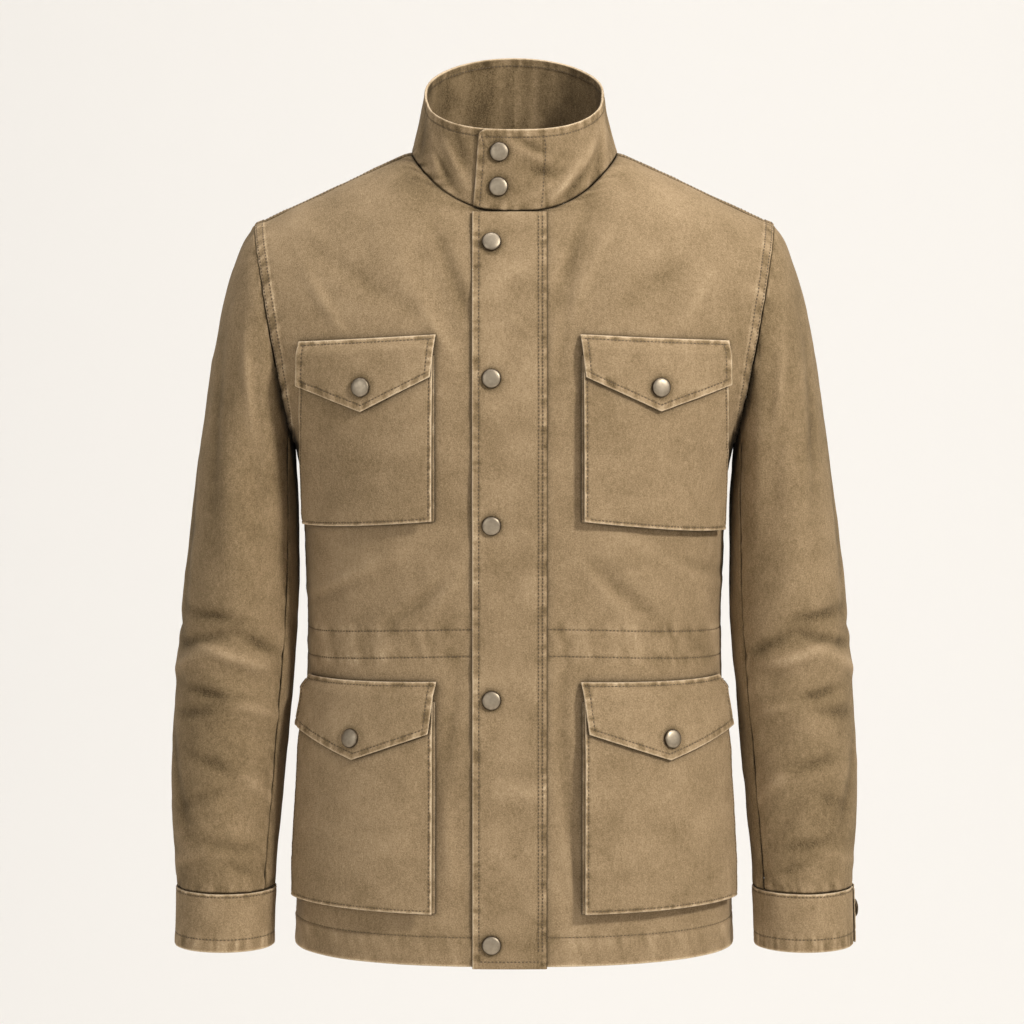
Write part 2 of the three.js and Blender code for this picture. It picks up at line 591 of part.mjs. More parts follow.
function pocketFlap(pocket) {
  const { over, wing } = FLAP;
  const { flapSide, flapPoint } = pocket;
  const depthAt = (u) => lerp(flapPoint, flapSide, Math.abs(2 * u - 1));
  const grid = spread(0, 1, FLAP_ROWS).map((v) => FLAP_COLUMNS.map((u) => {
    const fall = v * depthAt(u);
    const [x] = pocketPlace(pocket, u, pocket.top - fall);
    const leaning = pocket.lean * v * leanShare(pocket, u);
    const spreadOut = ((2 * u - 1) * (over + wing * v) + leaning) * pocket.side;
    const z = pocket.top + 2 - pocket.drop * u - fall;
    const limit = (SIDE_LIMIT + 0.007) * halfAt(z);
    return [clamp(x + spreadOut, -limit, limit), z];
  }));
  const liftAt = (x, z, i) => {
    const v = i / FLAP_ROWS;
    return 0.6 + (pocketLift(pocket, z) + FLAP.out - DOUBLE - 0.6) * smooth(v / 0.3 + 0.12);
  };
  return layer(grid, liftAt, DOUBLE);
}

// The collar stands on the neckline and laps over itself in front
function neckRing() {
  const at = (angle, front) => {
    const section = sectionAbove(angle, front);
    return sectionPoint(section, startX(section, angle, front, 0), front);
  };
  const front = [...NECK_ROWS_FRONT, 88].map((angle) => at(angle, true));
  const back = [...NECK_ROWS_BACK].reverse().map((angle) => at(angle, false));
  const half = [...front, ...back];
  const otherHalf = half.slice(1, -1).reverse().map((p) => vec(-p.x, p.y, p.z));
  return new THREE.CatmullRomCurve3([...half, ...otherHalf], true, 'catmullrom', 0);
}

const NECK_CURVE = neckRing();
const NECK_SAMPLES = NECK_CURVE.getSpacedPoints(480);

// The neckline's point at an angle round the neck: -90 is the middle of the front, 0 is at the wearer's left
function neckAt(turn) {
  const want = ((turn % 360) + 360) % 360;
  const error = (p) => Math.abs(((Math.atan2(p.y, p.x) / RAD - want + 540) % 360) - 180);
  return NECK_SAMPLES.reduce((best, p) => (error(p) < error(best) ? p : best));
}

// Collar wall point: turn round the neck, share of the height, distance out
function collarPoint(turn, share, out) {
  const base = neckAt(turn);
  const radial = vec(base.x, base.y, 0).normalize();
  const rimY = base.y * (base.y < 0 ? COLLAR.rimFront / NECK_FRONT : COLLAR.rimBack / NECK_BACK);
  const rim = vec(base.x * COLLAR.rimHalf / NECK_HALF, rimY, COLLAR.rimZ + COLLAR.rimTilt * rimY);
  const bow = -1.2 * Math.sin(Math.PI * share);
  return base.clone().add(vec(0, 0, 0.5)).lerp(rim, share).addScaledVector(radial, out + bow);
}

const turnOfX = (x) => Math.atan2(-Math.sqrt(Math.max(0, 1 - (x / NECK_HALF) ** 2)) * NECK_FRONT, x) / RAD;

const COLLAR_LIFT = FLY.lift + 0.4;

function collar() {
  const start = turnOfX(COLLAR.end);
  const end = turnOfX(COLLAR.tail) + 360;
  const turns = spread(start, end, 46);
  const lap = turnOfX(COLLAR.tail) - start;
  const outAt = (turn) => (COLLAR_LIFT - 0.2) * (1 - smooth((turn - start - lap) / 40)) + 0.2;
  const cornerCut = (turn) => 6 * (1 - Math.sqrt(clamp((turn - start) / 6, 0, 1)));
  const grid = (extra) => spread(0, 1, 4).map((share) => turns.map((turn) => {
    const p = collarPoint(turn, share, outAt(turn) + extra);
    p.z -= cornerCut(turn) * share ** 6;
    return p;
  }));
  return wall(grid(0), grid(-DOUBLE));
}

// A domed snap cap, turned to face along a normal
function snapCap() {
  const { radius, height } = SNAP;
  const dome = [
    [0, 0], [radius - 0.7, 0], [radius, 0.9], [radius - 0.9, 1.8], [radius * 0.62, height - 0.4], [0, height],
  ];
  const g = new THREE.LatheGeometry(dome.map(([r, y]) => new THREE.Vector2(r, y)), 12);
  g.deleteAttribute('normal');
  g.deleteAttribute('uv');
  return mergeVertices(g, 1e-3);
}

// Materials
const cloth = new THREE.MeshStandardMaterial({ color: 0x94805c, roughness: 0.9, metalness: 0 });
const metal = new THREE.MeshStandardMaterial({ color: 0x8b8472, roughness: 0.4, metalness: 0.9 });

const jacket = new THREE.Group();

function add(name, geometry, material = cloth) {
  const mesh = new THREE.Mesh(geometry, material);
  mesh.name = name;
  jacket.add(mesh);
  return mesh;
}

function addSnap(name, place, normal) {
  const mesh = add(name, snapCap(), metal);
  mesh.position.copy(place).addScaledVector(normal, SEAM_GAP);
  mesh.quaternion.setFromUnitVectors(vec(0, 1, 0), normal);
}

add('front_left', frontPanel(1));
add('front_right', frontPanel(-1));
add('back', backPanel());
[['left', 1], ['right', -1]].forEach(([name, side]) => {
  add('sleeve_upper_' + name, sleevePanel(side, SLEEVE_SEAMS.front, SLEEVE_SEAMS.back, 15));
  add('sleeve_under_' + name, sleevePanel(side, SLEEVE_SEAMS.back, SLEEVE_SEAMS.front + 360, 8));
  add('cuff_' + name, cuff(side, CUFF_LAP.end[name]));
});
add('fly', fly());
add('collar', collar());
POCKETS.forEach((pocket) => {
  add('pocket_' + pocket.name, pocketFace(pocket));
  add('gusset_' + pocket.name, pocketGusset(pocket));
  add('flap_' + pocket.name, pocketFlap(pocket));
});

// The outward normal of a surface given by two numbers, taken over a snap's width
function normalOf(at, u, v, du, dv) {
  return at(u + du, v).sub(at(u - du, v)).cross(at(u, v + dv).sub(at(u, v - dv))).normalize();
}

FLY_SNAPS.forEach((z, k) => {
  const at = (x, height) => lifted(x, height, FLY.lift + 0.4);
  addSnap('snap_fly_' + (k + 1), at(FLY_SNAP_X, z), normalOf(at, FLY_SNAP_X, z, SNAP.radius, SNAP.radius));
});
COLLAR_SNAPS.forEach((share, k) => {
  const turn = turnOfX(COLLAR.snapX);
  const at = (t, s) => collarPoint(t, s, COLLAR_LIFT + 0.4);
  addSnap('snap_collar_' + (k + 1), at(turn, share), normalOf(at, turn, share, 6, 0.1));
});
POCKETS.forEach((pocket) => {
  const x = pocket.side * ((pocket.in + pocket.out) / 2 + pocket.snapShift);
  const z = pocket.top - pocket.flapPoint + pocket.snapUp;
  const at = (across, height) => lifted(across, height, pocketLift(pocket, height) + FLAP.out + 0.3);
  addSnap('snap_' + pocket.name, at(x, z), normalOf(at, x, z, SNAP.radius, SNAP.radius));
});
[['left', 1], ['right', -1]].forEach(([name, side]) => {
  const z = lerp(CUFF.bottom, CUFF.top, 0.56);
  const angle = CUFF_LAP.end[name] + 13;
  const at = (a, height) => cuffPoint(side, a * side, height, CUFF_LIFT + 0.4);
  addSnap('snap_cuff_' + name, at(angle * side, z), normalOf(at, angle * side, z, 8, 4));
});

export default jacket;
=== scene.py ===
# Field jacket, hollow, filled out as worn.
# Sizes in the tables are millimetres, meshes are metres, and -Y is the front.
import math

import bmesh
import bpy
import numpy as np
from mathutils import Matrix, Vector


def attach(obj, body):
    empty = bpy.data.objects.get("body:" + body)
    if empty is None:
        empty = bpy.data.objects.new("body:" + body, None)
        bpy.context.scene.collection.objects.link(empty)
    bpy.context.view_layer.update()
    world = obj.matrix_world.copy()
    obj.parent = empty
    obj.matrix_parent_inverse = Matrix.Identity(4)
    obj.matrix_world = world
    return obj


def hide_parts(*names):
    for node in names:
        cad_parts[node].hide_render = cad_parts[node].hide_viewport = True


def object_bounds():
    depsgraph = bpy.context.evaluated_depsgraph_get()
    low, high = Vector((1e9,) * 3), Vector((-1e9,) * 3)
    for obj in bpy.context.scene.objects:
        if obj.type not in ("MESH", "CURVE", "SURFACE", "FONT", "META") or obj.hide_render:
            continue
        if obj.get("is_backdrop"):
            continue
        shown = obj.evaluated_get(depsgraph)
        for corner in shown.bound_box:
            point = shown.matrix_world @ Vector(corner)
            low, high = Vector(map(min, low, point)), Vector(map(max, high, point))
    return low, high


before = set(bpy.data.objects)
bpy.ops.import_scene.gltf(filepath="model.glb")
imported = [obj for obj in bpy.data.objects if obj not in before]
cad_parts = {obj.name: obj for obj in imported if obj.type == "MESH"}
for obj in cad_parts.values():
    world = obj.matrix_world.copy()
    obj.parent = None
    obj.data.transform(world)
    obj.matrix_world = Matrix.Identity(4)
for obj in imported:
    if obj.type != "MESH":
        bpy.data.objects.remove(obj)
cad_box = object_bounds()

MM = 0.001
CLOTH = 1.4
INSIDE_WEAR = -0.35
DOUBLE = 2.2
SEAM_GAP = 0.3
SEAM_INSET = 0.2
HEM_Z = -717.0
ARMPIT_Z = -262.0
ARMPIT_X = 198.0
TIP_X = 233.0
TIP_Z = -66.0
ARMHOLE_DEPTH = 78.0
NECK_HALF = 92.0
NECK_FRONT = 86.0
NECK_BACK = 70.0
NECK_POWER_FRONT = 2.6
SEAM_ANGLE = 82.0
TOP_ANGLE = 88.0
PLAN_POWER = 2.35
FRONT_POWER = 2.2
BACK_POWER = 3.0
RIDGE_BLEND = 0.12
FRONT_EDGE = 14.0
FLY_LEFT = -37.0
FLY_RIGHT = 29.0
FLY_LIFT = 2.6
CUFF_TOP = -661.5
CUFF_BOTTOM = -714.0
SIDE_LIMIT = 0.965

# Torso sections below the armpit: z, half width, reach to the front, reach to the back
TORSO = np.array([
    (HEM_Z, 199, 134, 130),
    (-640, 197, 133, 128),
    (-560, 192, 129, 122),
    (-443, 187, 123, 115),
    (-360, 189, 128, 121),
    (-300, 191, 132, 127),
    (ARMPIT_Z, ARMPIT_X, 134, 130),
])

# Sleeve rings from armhole to cuff: outer x, outer z, inner x, inner z, half depth, bend forward
SLEEVE = np.array([
    (TIP_X, TIP_Z, ARMPIT_X, ARMPIT_Z, 78, 0),
    (246, -87, 197.5, -272, 80, 0),
    (259, -126, 196.5, -284, 81, 0),
    (269, -172, 195.6, -300, 80, 0),
    (278, -225, 194.8, -322, 77, 0),
    (286, -280, 194.5, -350, 74, -1),
    (293, -338, 194.5, -382, 70, -3),
    (300, -398, 195.5, -420, 67, -6),
    (305, -460, 199, -466, 64, -11),
    (309, -525, 204, -525, 60, -18),
    (310, -590, 210, -590, 55, -26),
    (307, -635, 214.5, -635, 50, -32),
    (305, -661, 216, -661, 47, -35),
])

# Folds of the front: x, z, slope in degrees, half length, half width, depth (a trough is negative)
FRONT_FOLDS = [
    (92, -128, 62, 70, 20, 3.2),
    (-62, -118, -58, 70, 18, -3),
    (118, -372, -38, 75, 16, 3),
    (150, -392, -50, 55, 14, -3),
    (-120, -392, 42, 70, 17, -2.6),
    (-75, -560, 84, 90, 14, -2.4),
    (47, -610, -86, 90, 9, -2.6),
]
# Smaller creases of the front, in the same columns
FRONT_CREASES = [
    (48, -96, 70, 60, 6, -1.3),
    (62, -110, 64, 66, 7, 1.1),
    (-52, -112, -68, 60, 6, -1.4),
    (-70, -150, -60, 46, 7, 0.9),
    (44, -150, 82, 60, 5, -0.9),
    (128, -110, 34, 60, 9, -1.0),
    (-132, -112, -30, 60, 9, -1.0),
    (160, -130, 60, 44, 6, 0.9),
    (-168, -130, -58, 44, 6, 0.9),
    (96, -386, -40, 60, 7, -1.4),
    (132, -356, -30, 60, 6, 1.2),
    (70, -372, -52, 50, 6, 0.9),
    (160, -366, -20, 40, 6, -1.0),
    (-92, -400, 38, 60, 6, -1.2),
    (-140, -370, 30, 55, 6, 1.0),
    (-58, -380, 60, 44, 6, 0.8),
    (-165, -392, 26, 30, 5, -0.9),
    (44, -470, 84, 60, 5, -0.8),
    (46, -560, -86, 80, 5, -1.0),
    (50, -640, -80, 60, 5, 0.9),
    (-56, -500, 82, 70, 5, -0.8),
    (-58, -610, -86, 60, 5, 0.8),
    (100, -698, 4, 90, 6, 0.6),
    (-100, -700, -3, 90, 6, 0.6),
]
BACK_FOLDS = [
    (105, -380, 48, 80, 18, -3),
    (-110, -372, -46, 80, 18, -3),
    (40, -590, 86, 110, 20, 3),
    (-58, -600, -84, 110, 20, 3),
    (120, -150, 66, 70, 20, -2.6),
    (-122, -146, -66, 70, 20, -2.6),
]
BACK_CREASES = [
    (70, -395, 40, 70, 7, -1.4),
    (-75, -388, -38, 70, 7, -1.4),
    (140, -360, 30, 60, 7, 1.2),
    (-145, -352, -30, 60, 7, 1.2),
    (0, -405, 4, 90, 8, -1.0),
    (20, -365, -8, 80, 7, 0.9),
    (100, -120, 50, 60, 8, 1.0),
    (-100, -118, -50, 60, 8, 1.0),
    (60, -240, 78, 90, 9, -0.9),
    (-64, -250, -80, 90, 9, -0.9),
    (90, -560, 88, 100, 8, -0.9),
    (-96, -570, -88, 100, 8, -0.9),
    (10, -640, 85, 70, 7, 0.8),
]
# Sleeve folds: angle round the sleeve, z, slope, half length, half width, depth
SLEEVE_FOLDS = [
    (10, -430, 12, 46, 12, -5),
    (-12, -468, 14, 40, 11, -4.5),
    (34, -452, -18, 34, 10, 3.5),
    (-25, -520, 24, 36, 11, -3.5),
    (-18, -590, 52, 34, 10, -3),
    (22, -300, 78, 90, 16, 3.4),
    (-8, -270, 80, 100, 15, -4),
    (172, -420, -14, 50, 13, -4.5),
    (195, -470, 16, 44, 12, -4),
    (165, -545, 22, 40, 12, 3),
    (150, -290, 82, 95, 18, -3.4),
]
SLEEVE_CREASES = [
    (30, -412, 6, 40, 6, -2.0),
    (4, -448, 16, 44, 5, 1.8),
    (44, -436, -12, 40, 5, -1.8),
    (60, -458, -22, 34, 6, 1.5),
    (20, -482, 10, 40, 5, -1.8),
    (-20, -494, 18, 36, 5, 1.5),
    (40, -500, -8, 34, 6, -1.4),
    (-30, -440, 24, 30, 5, -1.6),
    (10, -545, 14, 34, 6, -1.2),
    (-28, -562, 36, 30, 5, 1.2),
    (36, -580, -20, 30, 6, -1.1),
    (0, -618, 8, 34, 6, -1.1),
    (50, -632, -14, 28, 5, 1.0),
    (-20, -640, 18, 26, 5, -0.9),
    (60, -560, 70, 60, 7, -1.1),
    (76, -330, 84, 110, 9, -1.2),
    (44, -240, 80, 90, 8, -1.2),
    (10, -205, 70, 60, 7, 1.3),
    (-22, -190, 62, 60, 7, -1.5),
    (100, -420, 20, 40, 7, -1.5),
    (120, -470, -16, 40, 7, 1.3),
    (185, -440, 8, 46, 6, -1.8),
    (170, -500, -10, 40, 6, -1.5),
    (130, -520, 12, 40, 6, 1.2),
    (160, -600, 20, 40, 6, -1.0),
    (120, -220, 74, 70, 8, -1.1),
]

# Pockets, one row each, with the columns that POCKET_KEYS names
POCKET_KEYS = ("side", "inner", "outer", "top", "bottom_in", "bottom_out", "drop", "depth",
               "taper", "flap_side", "flap_point", "lean", "corner", "snap_shift", "snap_up")
POCKET_ROWS = {
    "chest_right": (-1, 71, 187, -159, -320, -331, 8, 8, 5, 37, 63, 3, 1, 2, 19),
    "chest_left": (1, 60, 186, -159, -320, -336, 7, 8, 5, 37, 63, 3, 1, 2, 19),
    "hip_right": (-1, 71, 190, -466, -669, -668, 4, 11, 0, 46, 70, 10, 0.45, 7, 19),
    "hip_left": (1, 61, 190, -466, -669, -668, 4, 11, 0, 46, 70, 10, 0.45, 7, 19),
}
POCKETS = {name: dict(zip(POCKET_KEYS, row)) for name, row in POCKET_ROWS.items()}
FLAP_OVER = 2.5
FLAP_WING = -1.0
FLAP_OUT = 5.0
GUSSET_BASE = 1.3
GUSSET_FACE = 0.9
GUSSET_INSET = 2.6
GUSSET_STEPS = 70
GUSSET_ROWS = 13

FLY_SNAPS = (-78, -195, -324, -480, -697)
FLY_SNAP_X = -20.0
COLLAR_END = -34.0
COLLAR_TAIL = 18.0
COLLAR_SNAP_X = -14.0
COLLAR_SNAPS = (0.29, 0.72)
RIM_HALF = 80.0
RIM_FRONT = 80.0
RIM_BACK = 69.0
RIM_Z = 54.0
RIM_TILT = 0.41
COLLAR_LIFT = FLY_LIFT + 0.4
CUFF_END = {"left": 92.0, "right": 112.0}
CUFF_OVERLAP = 42.0
CUFF_GROW = 0.7
CUFF_LIFT = DOUBLE + SEAM_GAP + 0.2
SNAP_RADIUS = 8.6
SNAP_LIFT = 0.4

# Sewn edges of a piece: edge, distance of the stitches, seed, steps without stitches at the start and the end
CUFF_LINES = [("bottom", 11.5, 6, 4, 4), ("top", 3.0, 3, 4, 4), ("start", 3.0, 5, 3, 3)]
COLLAR_RIM_LINE = 7.2
COLLAR_LINES = [("top", COLLAR_RIM_LINE, 511, 8, 30), ("start", 6.0, 531, 2, 6)]
POCKET_LINES = [("start", 3.0, 0, 6, 2), ("end", 3.0, 3, 6, 2), ("bottom", 3.0, 6, 6, 6)]
FLAP_LINES = [("start", 6.0, 0, 6, 7), ("end", 6.0, 3, 6, 7), ("top", 6.0, 6, 7, 7), ("bottom", 4.2, 9, 3, 3)]


def smooth(t):
    c = np.clip(t, 0, 1)
    return c * c * (3 - 2 * c)


def lerp(a, b, t):
    return a + (b - a) * t


def bell(offset, width):
    """A soft bump, 1 where the offset is 0."""
    return np.exp(-(offset / width) ** 2)


def column(table, key, at):
    """Catmull-Rom reading of one column of a table at fractional rows."""
    last = len(table) - 1
    i = np.clip(np.floor(at).astype(int), 0, last - 1)
    t = at - i
    value = lambda k: table[np.clip(k, 0, last), key]
    a, b, c, d = value(i - 1), value(i), value(i + 1), value(i + 2)
    slope_b = np.where(i == 0, c - b, (c - a) / 2)
    slope_c = np.where(i == last - 1, c - b, (d - b) / 2)
    t2, t3 = t * t, t * t * t
    ease = 3 * t2 - 2 * t3
    return b * (1 - ease) + c * ease + slope_b * (t3 - 2 * t2 + t) + slope_c * (t3 - t2)


def torso_row(z):
    return np.interp(z, TORSO[:, 0], np.arange(len(TORSO)))


def half_at(z):
    return column(TORSO, 1, torso_row(np.minimum(z, ARMPIT_Z)))


# Smooth random numbers, the same at each run
def ripple(s, wave, seed):
    """Smooth noise from -1 to 1 along a length."""
    values = np.random.default_rng(seed).uniform(-1, 1, 4096)
    at = np.asarray(s, float) / wave + 1000.0
    i = np.floor(at).astype(int)
    t = smooth(at - i)
    return lerp(values[i % 4096], values[(i + 1) % 4096], t)


def cloudy(a, b, wave, seed):
    """Smooth noise from -1 to 1 over a surface."""
    values = np.random.default_rng(seed).uniform(-1, 1, (256, 256))
    p, q = a / wave + 500.0, b / wave + 500.0
    i, j = np.floor(p).astype(int), np.floor(q).astype(int)
    t, u = smooth(p - i), smooth(q - j)
    corner = lambda di, dj: values[(i + di) % 256, (j + dj) % 256]
    return lerp(lerp(corner(0, 0), corner(1, 0), t), lerp(corner(0, 1), corner(1, 1), t), u)


def fold_shape(dx, dz, slope, long, wide):
    """A long soft ridge at a slope, 1 at its middle."""
    c, s = math.cos(math.radians(slope)), math.sin(math.radians(slope))
    return np.exp(-((dz * c - dx * s) / wide) ** 2 - 1.5 * ((dx * c + dz * s) / long) ** 2)


def fold_sum(folds, x, z):
    return sum(deep * fold_shape(x - fx, z - fz, slope, long, wide)
               for fx, fz, slope, long, wide, deep in folds)


def fold_fade(x, z):
    """Large folds die out at the hem, the seams, the neck and the fly."""
    edge = np.where(z > ARMPIT_Z, lerp(ARMPIT_X, TIP_X, (z - ARMPIT_Z) / (TIP_Z - ARMPIT_Z)), half_at(z))
    from_neck = np.hypot(x, 1.8 * z) - NECK_HALF
    fade = smooth((z - HEM_Z) / 50) * smooth((edge - np.abs(x)) / 45) * smooth(from_neck / 60)
    from_fly = np.abs(x - (FLY_LEFT + FLY_RIGHT) / 2) - (FLY_RIGHT - FLY_LEFT) / 2
    return fade * smooth(from_fly / 30)


def crease_fade(x, z):
    """Small creases die out under the pockets and the fly."""
    fade = smooth((np.abs(x + 4) - 30) / 12) * smooth((z - HEM_Z) / 30)
    for p in POCKETS.values():
        out = p["side"] * x
        inside = smooth((out - p["inner"] + 4) / 10) * smooth((p["outer"] + 4 - out) / 10)
        inside = inside * smooth((p["top"] + 8 - z) / 10) * smooth((z - p["bottom_in"] + 6) / 10)
        fade = fade * (1 - inside)
    return fade


def front_folds(x, z):
    return fold_fade(x, z) * fold_sum(FRONT_FOLDS, x, z)


# Body sections above the armpit follow the armhole
def section_above(rise, front):
    roll = FRONT_POWER if front else BACK_POWER
    full = TORSO[-1, 2 if front else 3]
    reach = np.maximum(full * np.maximum(1 - rise ** roll, 0) ** (1 / roll), 0.02)
    edge_y = ARMHOLE_DEPTH * np.sqrt(np.maximum(1 - (2 * rise - 1) ** 2, 0))
    edge_x = lerp(ARMPIT_X, TIP_X, rise)
    cut = (1 - np.clip(edge_y / reach, 0, 0.98) ** PLAN_POWER) ** (1 / PLAN_POWER)
    return edge_x / cut, reach, edge_x


def ridge(x, edge_x):
    share = (x - NECK_HALF) / (edge_x - NECK_HALF)
    soft = np.maximum(0, share + RIDGE_BLEND) ** 2 / (4 * RIDGE_BLEND)
    return TIP_Z * np.where(share > RIDGE_BLEND, share, soft)


def rise_of(angle):
    return (1 + np.sin(np.radians(angle))) / 2


def neck_angle(reach, full, roll):
    rise = (1 - (reach / full) ** roll) ** (1 / roll)
    return math.degrees(math.asin(2 * rise - 1))


NECK_ANGLE_FRONT = neck_angle(NECK_FRONT, 134.0, FRONT_POWER)
NECK_ANGLE_BACK = neck_angle(NECK_BACK, 130.0, BACK_POWER)


def neck_from(front):
    """The angle above which rows end at the neck."""
    return NECK_ANGLE_FRONT if front else NECK_ANGLE_BACK


def torso_rows(rows, front, edge, shares):
    """Grid of points, with shares that run from the start of a row to its edge.

    Rows are (z, None) below the armpit and (None, angle) above it.
    """
    grid = []
    for z, angle in rows:
        if angle is None:
            at = torso_row(np.array([z]))
            half = column(TORSO, 1, at)
            reach = column(TORSO, 2 if front else 3, at)
            edge_x, start = half, np.array([edge])
        else:
            rise = np.array([rise_of(angle)])
            half, reach, edge_x = section_above(rise, front)
            start = np.array([edge])
            if angle > neck_from(front):
                power = NECK_POWER_FRONT if front else 2
                inside = np.maximum(0, 1 - (reach / (NECK_FRONT if front else NECK_BACK)) ** power)
                start = np.maximum(edge, NECK_HALF * inside ** (1 / power))
        turn = lambda x: np.arccos(np.sign(x) * np.clip(np.abs(x) / half, 0, 1) ** (PLAN_POWER / 2))
        c = np.cos(lerp(turn(start), turn(edge_x), shares))
        x = half * np.sign(c) * np.abs(c) ** (2 / PLAN_POWER)
        size = np.clip(np.abs(x) / half, 0, 1)
        y = reach * (1 - size ** PLAN_POWER) ** (1 / PLAN_POWER)
        if angle is None:
            height = np.full_like(x, z)
        else:
            height = ARMPIT_Z + (ridge(np.abs(x), edge_x) - ARMPIT_Z) * rise
        grid.append(np.stack([x, -y if front else y, height], -1))
    return np.array(grid)


def front_point(x, z):
    """Points of the front at places on the front view."""
    x, z = np.broadcast_arrays(np.asarray(x, float), np.asarray(z, float))
    at = torso_row(np.minimum(z, ARMPIT_Z))
    half, reach = column(TORSO, 1, at), column(TORSO, 2, at)
    low, high = np.zeros_like(z), np.full_like(z, 0.9999)
    for _ in range(26):
        middle = (low + high) / 2
        _, _, edge_x = section_above(middle, True)
        below = ARMPIT_Z + (ridge(np.abs(x), edge_x) - ARMPIT_Z) * middle < z
        low, high = np.where(below, middle, low), np.where(below, high, middle)
    half_up, reach_up, _ = section_above(low, True)
    above = z > ARMPIT_Z
    half, reach = np.where(above, half_up, half), np.where(above, reach_up, reach)
    size = np.clip(np.abs(x) / half, 0, 1)
    y = -reach * (1 - size ** PLAN_POWER) ** (1 / PLAN_POWER)
    return np.stack([x, y, z], -1)


def unit(v):
    return v / np.maximum(np.linalg.norm(v, axis=-1, keepdims=True), 1e-9)


def front_normal(x, z):
    d = 3.0
    limit = 0.985 * half_at(z)
    cx = np.clip(x, -limit + d, limit - d)
    across = front_point(cx + d, z) - front_point(cx - d, z)
    up = front_point(cx, z + d) - front_point(cx, z - d)
    return unit(np.cross(across, up))


def lifted(x, z, lift):
    """Points above the front: moved out by lift, with the front's large folds."""
    x, z = np.broadcast_arrays(np.asarray(x, float), np.asarray(z, float))
    return front_point(x, z) + front_normal(x, z) * (np.asarray(lift) + front_folds(x, z))[..., None]


# Meshes
def grid_normals(grid, outward):
    across = np.gradient(grid, axis=1)
    along = np.gradient(grid, axis=0)
    normal = unit(np.cross(across, along))
    flip = np.sign(np.sum(normal * outward, -1, keepdims=True))
    return normal * np.where(flip == 0, 1, flip)


def make_object(name, points, faces, wear_and_shade=None, material=None):
    mesh = bpy.data.meshes.new(name)
    points = np.asarray(points, float) * MM
    faces = np.asarray(faces, np.int32)
    size = faces.shape[1]
    mesh.vertices.add(len(points))
    mesh.vertices.foreach_set("co", points.ravel())
    mesh.loops.add(faces.size)
    mesh.loops.foreach_set("vertex_index", faces.ravel())
    mesh.polygons.add(len(faces))
    mesh.polygons.foreach_set("loop_start", np.arange(0, faces.size, size, dtype=np.int32))
    mesh.polygons.foreach_set("use_smooth", np.ones(len(faces), bool))
    mesh.update(calc_edges=True)
    mesh.validate()
    if wear_and_shade is not None:
        attribute = mesh.attributes.new("wear_and_shade", "FLOAT", "POINT")
        attribute.data.foreach_set("value", np.asarray(wear_and_shade, np.float32).ravel())
    if material:
        mesh.materials.append(material)
    obj = bpy.data.objects.new(name, mesh)
    bpy.context.scene.collection.objects.link(obj)
    return obj


def shell_data(grid, normals, thickness, wear_and_shade, open_start=0):
    """Vertices, faces and stored tones (rubbed pale places and painted shade) of a wall between a grid and
    the same grid moved in.

    Rows below open_start have no rim at their start.
    """
    m, n = grid.shape[:2]
    inner = grid - normals * thickness
    points = np.concatenate([grid.reshape(-1, 3), inner.reshape(-1, 3)])
    ids = np.arange(2 * m * n).reshape(2, m, n)
    quads = []

    def strip(a, b, c, d):
        quads.append(np.stack([a.ravel(), b.ravel(), c.ravel(), d.ravel()], 1))

    strip(ids[0, :-1, :-1], ids[0, :-1, 1:], ids[0, 1:, 1:], ids[0, 1:, :-1])
    strip(ids[1, :-1, :-1], ids[1, 1:, :-1], ids[1, 1:, 1:], ids[1, :-1, 1:])
    k = open_start
    strip(ids[0, k:-1, 0], ids[0, k + 1:, 0], ids[1, k + 1:, 0], ids[1, k:-1, 0])
    strip(ids[0, :-1, -1], ids[1, :-1, -1], ids[1, 1:, -1], ids[0, 1:, -1])
    strip(ids[0, 0, :-1], ids[1, 0, :-1], ids[1, 0, 1:], ids[0, 0, 1:])
    strip(ids[0, -1, :-1], ids[0, -1, 1:], ids[1, -1, 1:], ids[1, -1, :-1])
    faces = np.concatenate(quads)
    first, second, _, fourth = points[faces[0]]
    if np.dot(np.cross(second - first, fourth - first), normals[0, 0]) < 0:
        faces = faces[:, ::-1]
    return points, faces, np.concatenate([wear_and_shade.ravel(), np.full(wear_and_shade.size, INSIDE_WEAR)])


def edge_lengths(grid):
    """Distances from the four edges of a grid, along its rows and columns, and the running lengths."""
    step_across = np.linalg.norm(np.diff(grid, axis=1), axis=-1)
    step_along = np.linalg.norm(np.diff(grid, axis=0), axis=-1)
    s = np.concatenate([np.zeros((len(grid), 1)), np.cumsum(step_across, 1)], 1)
    t = np.concatenate([np.zeros((1, grid.shape[1])), np.cumsum(step_along, 0)], 0)
    return {"start": s, "end": s[:, -1:] - s, "bottom": t, "top": t[-1:] - t}


def seam(distance, run, seed, width=8.0, raised=0.5, pucker=0.45, wave=6.0, roll=1.0):
    """A sewn edge: the edge rolls in, the allowance stands a little proud, and the stitching puckers it."""
    edge = -roll * bell(distance, 0.9)
    proud = raised * smooth((width + 1.0 - distance) / 2.0)
    band = bell(distance - 0.55 * width, 0.75 * width)
    ripples = 0.6 * ripple(run, wave, seed) + 0.4 * ripple(run + 0.4 * distance, wave * 0.55, seed + 1)
    return edge + proud + 1.8 * pucker * band * ripples, band * ripples


def hemmed(distance, run, line, seed, rim=0.8):
    """Height and tone of a turned edge: a rubbed rim, a sunk row of stitches with painted shade in its
    groove, and puckers between the two.
    """
    teeth = 0.6 * ripple(run, 3.4, seed) + 0.4 * ripple(run + 0.5 * distance, 5.2, seed + 1)
    band = bell(distance - 0.6 * line, 0.7 * line)
    groove = bell(distance - line, 0.85)
    height = 0.5 * band * teeth - 0.5 * bell(distance, 0.6) - 0.45 * groove
    # Painted shade: the groove term darkens the sunk stitch row
    return height, 0.45 * band * teeth + rim * bell(distance, 1.2) - 0.16 * groove


